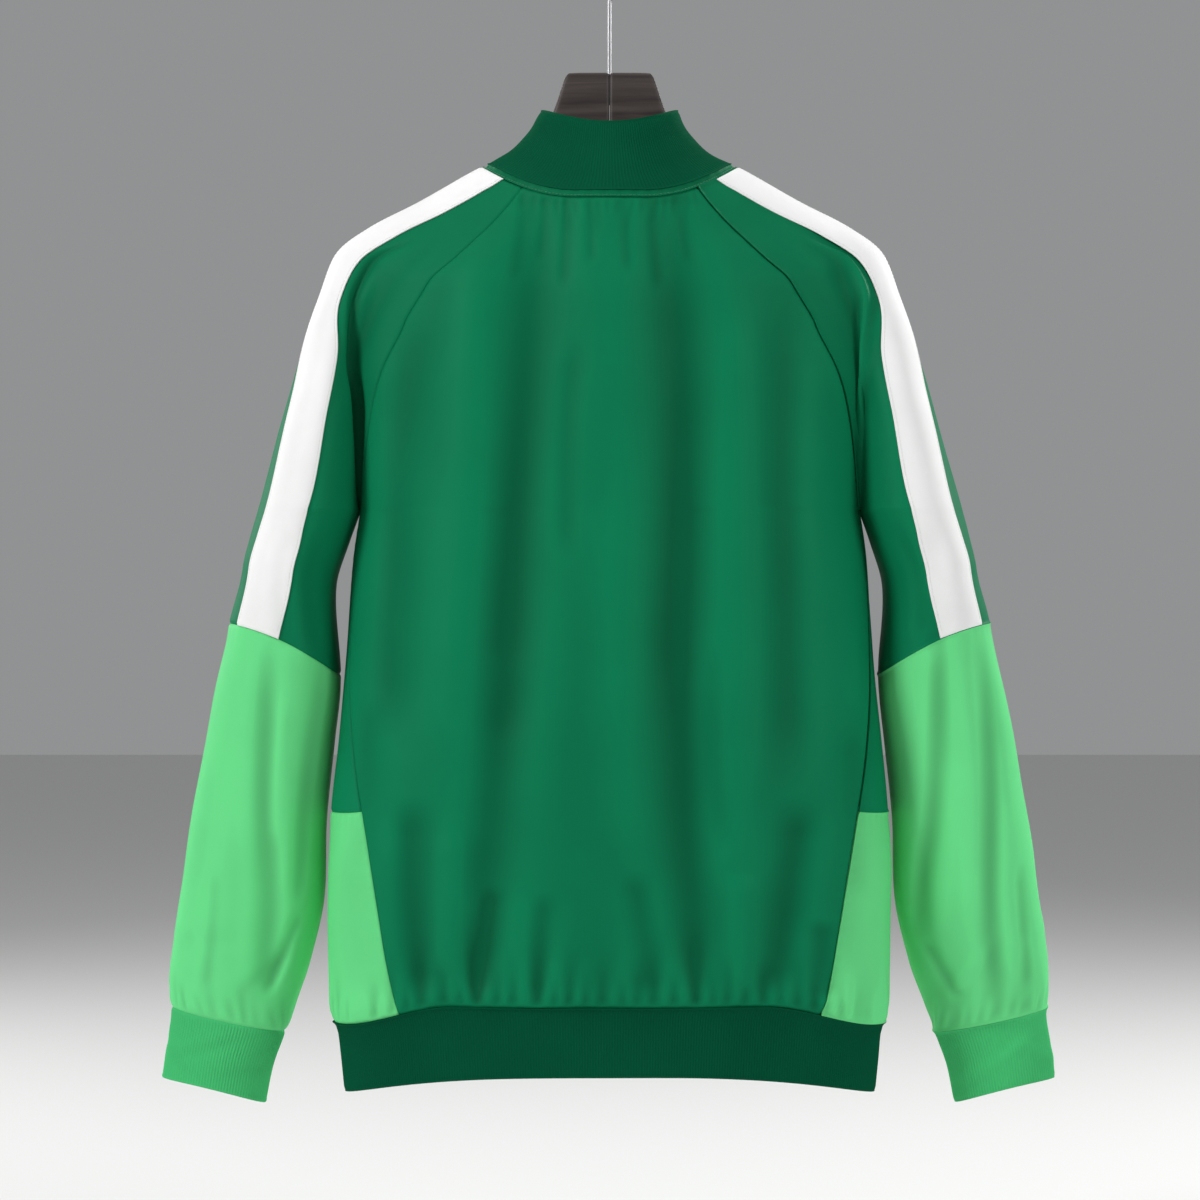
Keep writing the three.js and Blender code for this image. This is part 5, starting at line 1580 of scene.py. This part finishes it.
add_back_panel()
add_binding()
add_collar()
add_hem_band()
for side, name in ((1, "left"), (-1, "right")):
    add_front_panel(side, name)
    add_side_panel(side, name, "upper", 1, COLOUR_LEVEL, green_tricot)
    add_side_panel(side, name, "lower", COLOUR_LEVEL, 2, light_tricot)
    add_sleeve(side, name)


# The zip down the front. A station is a part of the front and a place on it, with x across
def front_points(station, xs):
    part, at = station
    xs = np.asarray(xs, float)
    side = np.where(xs < 0, -1, 1)
    level = {"hem": 2, "cloth": at, "collar": 0}[part]
    length = row(level, -1)["trace"].length
    if part == "cloth":
        return ring_points(level, side, np.abs(xs) - length)
    if part == "hem":
        return hem_points(side, np.abs(xs) - length, at)
    spread = (NECK_HALF - ZIP_HALF_OPENING) / (collar_at(at)["half"] - ZIP_HALF_OPENING)
    beyond = np.maximum(0, np.abs(xs) - ZIP_HALF_OPENING) * spread
    inside = np.minimum(np.abs(xs), ZIP_HALF_OPENING)
    return collar_points(side, inside + beyond - length, at)


def zip_stations(from_hem, to_collar):
    stations = [("hem", t) for t in np.linspace(from_hem, 0, 16)[:-1]]
    stations += [("cloth", v) for v in np.linspace(2, 0, 170)]
    return stations + [("collar", t) for t in np.linspace(0, to_collar, 16)[1:]]


def zip_strip(from_hem, to_collar, xs):
    """A grid up the front, and its normals, which point out of the cloth."""
    points = np.array([front_points(station, xs) for station in zip_stations(from_hem, to_collar)])
    lines = [Trace(points[:, k]) for k in range(points.shape[1])]
    even = np.linspace(0, 1, 400)
    points = np.stack([line.at(even * line.length) for line in lines], 1)
    normals = grid_normals(points)
    if normals[..., 1].sum() > 0:
        normals = -normals
    return points, normals


TAPE_DEPTH = 3


def add_zip_tape(side, name):
    cloth = Cloth(f"zip_tape_{name}_cloth")
    xs = side * np.array([0.4, 1.4, 2.2, 2.7, 3.2, 3.8, 5, 6.5, 9, 13])
    points, normals = zip_strip(1, 0.95, xs)
    cord = 0.5 * bell((np.abs(xs) - 3.2) / 0.5)
    relief = np.broadcast_to(cord - TAPE_DEPTH, points.shape[:2])
    down = np.broadcast_to(np.linspace(0, 700, len(points))[:, None], relief.shape)
    uv = np.stack([np.broadcast_to(xs, relief.shape), down], 2)
    cloth.add(points, relief, uv, normals)
    obj = cloth.build(TAPE, zip_tape)
    declare(obj, cloth, f"zip_tape_{name}")


def rounded_block(size, centre, bevel, segments=2, taper=None):
    """A block with rounded edges, as vertices in millimetres and faces."""
    form = bmesh.new()
    bmesh.ops.create_cube(form, size=1)
    for vertex in form.verts:
        vertex.co = [vertex.co[i] * size[i] + centre[i] for i in range(3)]
        if taper:
            vertex.co.x *= taper(vertex.co.y)
    bmesh.ops.bevel(form, geom=form.edges[:], offset=bevel, segments=segments, affect="EDGES", profile=0.5)
    form.verts.ensure_lookup_table()
    vertices = np.array([vertex.co[:] for vertex in form.verts])
    faces = [[vertex.index for vertex in face.verts] for face in form.faces]
    form.free()
    return vertices, faces


def ride_and_replace(obj, body, node):
    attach(obj, body)
    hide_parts(node)


TOOTH_PITCH = 2.5


def add_zip_chain():
    """Two rows of moulded teeth, each with a head that locks between two of the other row."""
    points, normals = zip_strip(0.82, 0.93, [-1, 0, 1])
    line = Trace(points[:, 1])
    out = normals[:, 1]
    base = rounded_block((2.3, 1.25, 1.9), (1.75, 0, 0), 0.22, 1)
    head = rounded_block((1.6, 0.95, 1.5), (0.15, 0, 0), 0.3, 1)
    tooth = joined([base, head])
    blocks = []
    count = int(line.length / TOOTH_PITCH)
    for i in range(count * 2):
        side = 1 if i % 2 else -1
        place = (i / 2 + 0.5) * TOOTH_PITCH
        here = line.at(place)
        along = line.at(place + 1) - line.at(place - 1)
        along /= np.linalg.norm(along)
        proud = out[min(len(out) - 1, int(place / line.length * (len(out) - 1)))]
        across = np.cross(along, proud)
        across *= side * np.sign(across[0])
        turned = np.stack([across, along * side, proud])
        blocks.append((here - 1.65 * proud + tooth[0] @ turned, tooth[1]))
    vertices, faces = joined(blocks)
    obj = add_mesh("zip_teeth", vertices * MM, faces, zip_moulding)
    ride_and_replace(obj, "garment", "zip_chain")


def frame_at(station, next_station):
    """Where a fitting sits on the zip: its place, and its across, up and out directions as rows."""
    at = front_points(station, [0])[0]
    up = front_points(next_station, [0])[0] - at
    up /= np.linalg.norm(up)
    across = np.array([1, 0, 0])
    return at, np.stack([across, up, np.cross(across, up)])


def add_zip_box():
    at, turned = frame_at(("hem", 0.93), ("hem", 0.8))
    blocks = [
        rounded_block((6.6, 7.6, 3.1), (0, 0, -1.05), 0.6, 3),
        rounded_block((1.5, 9.5, 1.2), (2.1, 3, -0.9), 0.4, 2),
        rounded_block((4.2, 0.7, 0.5), (0, -1.6, 0.5), 0.2, 2),
        rounded_block((4.2, 0.7, 0.5), (0, 0.2, 0.5), 0.2, 2),
    ]
    vertices, faces = joined(blocks)
    obj = add_mesh("zip_bottom_box", (at + vertices @ turned) * MM, faces, zip_metal)
    ride_and_replace(obj, "garment", "zip_box")


def swept(path, section):
    """A section carried along a path of places, each with its across and out directions."""
    return loft([at + section[:, :1] * across + section[:, 1:] * out for at, across, out in path])


def rounded_section(half_width, half_height, square, count=20):
    angle = np.linspace(0, 2 * math.pi, count + 1)[:-1]
    c, s = np.cos(angle), np.sin(angle)
    x = half_width * np.sign(c) * np.abs(c) ** (2 / square)
    y = half_height * np.sign(s) * np.abs(s) ** (2 / square)
    return np.stack([x, y], 1)


SLIDER = {"t": 0.76, "width": 9.2, "length": 11, "base": 0.4, "top": 2.2}
SLIDER_UP = ("collar", SLIDER["t"] + 0.1)


def slider_waist(y):
    """The slider is widest near its top, where the two rows part, and narrow at its tail."""
    return 0.8 + 0.2 * smooth(-4, 3, y)


def bridge_path():
    """The bridge's middle line in the slider's up and out directions."""
    ups = [-4.2, -4.2, -4.0, -3.3, -2, 0, 2, 3.3, 4.0, 4.2, 4.2]
    outs = [1.7, 4.2, 5.0, 5.5, 5.7, 5.75, 5.7, 5.5, 5.0, 4.2, 1.7]
    line = Trace(np.stack([ups, outs], 1))
    points = line.at(np.linspace(0, line.length, 40))
    along = np.gradient(points, axis=0)
    along /= np.linalg.norm(along, axis=1, keepdims=True)
    for (up, out), (a, b) in zip(points, along):
        yield np.array([0, up, out]), np.array([1, 0, 0]), np.array([0, -b, a])


def add_slider():
    at, turned = frame_at(("collar", SLIDER["t"]), SLIDER_UP)
    middle = (SLIDER["base"] + SLIDER["top"]) / 2
    thick = SLIDER["top"] - SLIDER["base"]
    plate_size = (SLIDER["width"], SLIDER["length"], thick)
    blocks = [
        rounded_block(plate_size, (0, 0, middle), 0.6, 3, slider_waist),
        rounded_block((4.8, 9, 0.8), (0, 0, 0.2), 0.25, 2),
        rounded_block((3.4, 8.4, 0.5), (0, 0, SLIDER["top"]), 0.2, 2),
        swept(list(bridge_path()), rounded_section(1.3, 0.5, 3.2)),
    ]
    vertices, faces = joined(blocks)
    obj = add_mesh("zip_slider_body", (at + vertices @ turned) * MM, faces, zip_metal)
    ride_and_replace(obj, "garment", "zip_slider")
    add_pull_tab(at, turned)


PULL = {"width": 6.6, "length": 27, "thickness": 1.5, "window": 6.2, "window_width": 3.6}
PIN_UP = -3.6 + 0.45 + PULL["thickness"] / 2
PIN_OUT = SLIDER["top"] + 0.45 + PULL["thickness"] / 2


def tab_outline(inset):
    """Half-widths of the tab down its length, with a rounded foot and shoulders."""
    half = PULL["width"] / 2 - inset
    foot = np.linspace(-math.pi / 2, 0, 10)
    low = -PULL["length"] + PULL["width"] / 2
    right = [(half * math.cos(a), low + half * math.sin(a)) for a in foot]
    right += [(half, low + 6), (half * 0.93, -9), (half, -5), (half, -0.6)]
    right += [(half - 0.5, PULL["thickness"] / 2 - inset)]
    left = [(-x, y) for x, y in right[::-1]]
    return right + left[:-1]


def window_outline():
    half = PULL["window_width"] / 2
    top, low = -PULL["thickness"] / 2, -PULL["thickness"] / 2 - PULL["window"]
    corner = 0.7
    points = []
    corners = [(half, low, 1, 1), (half, top, 1, -1), (-half, top, -1, -1), (-half, low, -1, 1)]
    for index, (x, y, sx, sy) in enumerate(corners):
        cx, cy = x - sx * corner, y + sy * corner
        start = -math.pi / 2 + index * math.pi / 2
        for step in np.linspace(0, math.pi / 2, 4):
            points.append((cx + corner * math.cos(start + step), cy + corner * math.sin(start + step)))
    return points


def add_pull_tab(at, turned):
    curve = bpy.data.curves.new("tab_outline", "CURVE")
    curve.dimensions = "2D"
    curve.fill_mode = "BOTH"
    rounding = 0.3
    for outline in (tab_outline(rounding), window_outline()):
        spline = curve.splines.new("POLY")
        spline.points.add(len(outline) - 1)
        for point, (x, y) in zip(spline.points, outline):
            point.co = (x * MM, y * MM, 0, 1)
        spline.use_cyclic_u = True
    curve.extrude = (PULL["thickness"] / 2 - rounding) * MM
    curve.bevel_depth = rounding * MM
    curve.bevel_resolution = 3
    holder = bpy.data.objects.new("tab_holder", curve)
    bpy.context.scene.collection.objects.link(holder)
    graph = bpy.context.evaluated_depsgraph_get()
    flat = bpy.data.meshes.new_from_object(holder.evaluated_get(graph))
    vertices = np.array([vertex.co[:] for vertex in flat.vertices]) / MM
    faces = [list(face.vertices) for face in flat.polygons]
    bpy.data.objects.remove(holder)
    bpy.data.meshes.remove(flat)
    grips = [rounded_block((4, 0.8, 0.5), (0, -14 - 2 * i, PULL["thickness"] / 2), 0.2, 2) for i in range(4)]
    back_grips = [(block * (1, 1, -1), [face[::-1] for face in faces_]) for block, faces_ in grips]
    vertices, faces = joined([(vertices, faces), *grips, *back_grips])
    placed = (at + (vertices + (0, PIN_UP, PIN_OUT)) @ turned) * MM
    obj = add_mesh("zip_pull_tab_body", placed, faces, zip_metal)
    ride_and_replace(obj, "pull_tab", "zip_pull_tab")


# The hanger: a crest at the neck and two arms under the shoulders
CREST_DROP = 108
HANGER = table(
    "x top low thick square",
    [0.2, CREST_DROP, 196, 9, 5],
    [20, CREST_DROP, 197, 9, 5],
    [31, 108.4, 198, 9, 5],
    [34, 111, 199, 9, 4.6],
    [37.5, 120, 200, 9.2, 4.2],
    [41, 130.5, 202, 9.4, 3.8],
    [45, 141, 204, 9.8, 3.5],
    [52, 154, 207, 10.4, 3.2],
    [62, 166, 211, 11.4, 3],
    [76, 176.5, 217, 13, 2.8],
)
HANGER_ARM = table(
    "x sink height thick square",
    [98, 2.6, 38, 15, 2.5],
    [120, 2.4, 36, 17, 2.4],
    [145, 2.4, 34, 19, 2.3],
    [170, 2.4, 31, 20.5, 2.2],
    [186, 3.5, 25, 18.5, 2.1],
    [194, 6.5, 16, 14, 2],
    [198, 10, 7, 8, 2],
)
HANGER_SIDES = 56


def hanger_rows():
    ridge = column(YOKE, "outer", "outer_drop")
    arm_top = ridge(HANGER_ARM["x"]) + HANGER_ARM["sink"]
    arm = {**HANGER_ARM, "top": arm_top, "low": arm_top + HANGER_ARM["height"]}
    rows = {key: np.concatenate([HANGER[key], arm[key]]) for key in HANGER}
    return columns(rows, "x")


def add_hanger(side, name):
    rows = hanger_rows()
    lean = column(YOKE, "outer", "lean")
    near = np.linspace(0.2, 30, 12)
    shoulder = np.linspace(30.6, 46, 20)
    arm = np.linspace(47, 186, 50)
    tip = 186 + 12 * np.sin(np.linspace(0.04, math.pi / 2, 18))
    rings = []
    for x in np.concatenate([near, shoulder, arm, tip]):
        r = rows(x)
        shrink = 0.97 if x < 0.3 else 1
        half_thick, half_high = r["thick"] / 2 * shrink, (r["low"] - r["top"]) / 2 * shrink
        section = rounded_section(half_thick, half_high, r["square"], HANGER_SIDES)
        y = 0 if x < NECK_HALF else lean(x)
        middle = np.array([side * x, y, -(r["top"] + r["low"]) / 2])
        rings.append(middle + section[:, :1] * (0, 1, 0) + section[:, 1:] * (0, 0, 1))
    vertices, faces = loft(rings)
    if side < 0:
        faces = [face[::-1] for face in faces]
    obj = add_mesh(f"hanger_wood_{name}", vertices * MM, faces, wood)
    ride_and_replace(obj, "garment", f"hanger_half_{name}")


HOOK = {"wire": 1.6, "inner": 20, "open": -0.5, "bend": 4.19, "stem_top": 55, "depth": 25}


def add_hook():
    """An open arc over the rail, a bend back to the middle and a straight stem into the wood."""
    radius = HOOK["inner"] + HOOK["wire"]
    angle = np.linspace(HOOK["open"], HOOK["bend"], 90)
    arc = np.stack([radius * np.cos(angle), -HOOK["inner"] + radius * np.sin(angle)], 1)
    way = np.array([-math.sin(HOOK["bend"]), math.cos(HOOK["bend"])])
    corner = arc[-1] - way * arc[-1, 0] / way[0]
    stem_top = np.array([0, -HOOK["stem_top"]])
    t = np.linspace(0, 1, 24)[1:, None]
    bend = mix(mix(arc[-1], corner, t), mix(corner, stem_top, t), t)
    stem = np.stack([np.zeros(30), np.linspace(-HOOK["stem_top"], -CREST_DROP - HOOK["depth"], 31)[1:]], 1)
    line = np.vstack([arc, bend, stem])
    along = np.gradient(line, axis=0)
    along /= np.linalg.norm(along, axis=1, keepdims=True)
    circle = rounded_section(1, 1, 2, 24)
    cap = along[0] * HOOK["wire"] * 0.9
    frames = [(line[0] - cap * math.cos(a), math.sin(a)) for a in (0.25, 0.6, 1)]
    frames += [(point, 1) for point in line]
    ways = np.vstack([np.repeat(along[:1], 3, 0), along])
    rings = []
    for (point, size), (a, b) in zip(frames, ways):
        across = np.array([b, 0, -a])
        middle = np.array([point[0], 0, point[1]])
        ring = circle * HOOK["wire"] * size
        rings.append(middle + ring[:, :1] * across + ring[:, 1:] * np.array([0, 1, 0]))
    vertices, faces = loft(rings)
    obj = add_mesh("hanger_wire", vertices * MM, faces, hook_wire)
    ride_and_replace(obj, "garment", "hanger_hook")


def face_outwards(name):
    """Turns a closed mesh's faces so that they point out of it."""
    mesh = bpy.data.objects[name].data
    form = bmesh.new()
    form.from_mesh(mesh)
    bmesh.ops.recalc_face_normals(form, faces=form.faces)
    form.to_mesh(mesh)
    form.free()


for side, name in ((1, "left"), (-1, "right")):
    add_zip_tape(side, name)
    add_hanger(side, name)
add_zip_chain()
add_zip_box()
add_slider()
add_hook()
for closed in (
    "hanger_wood_left",
    "hanger_wood_right",
    "hanger_wire",
    "zip_teeth",
    "zip_bottom_box",
    "zip_slider_body",
    "zip_pull_tab_body",
):
    face_outwards(closed)
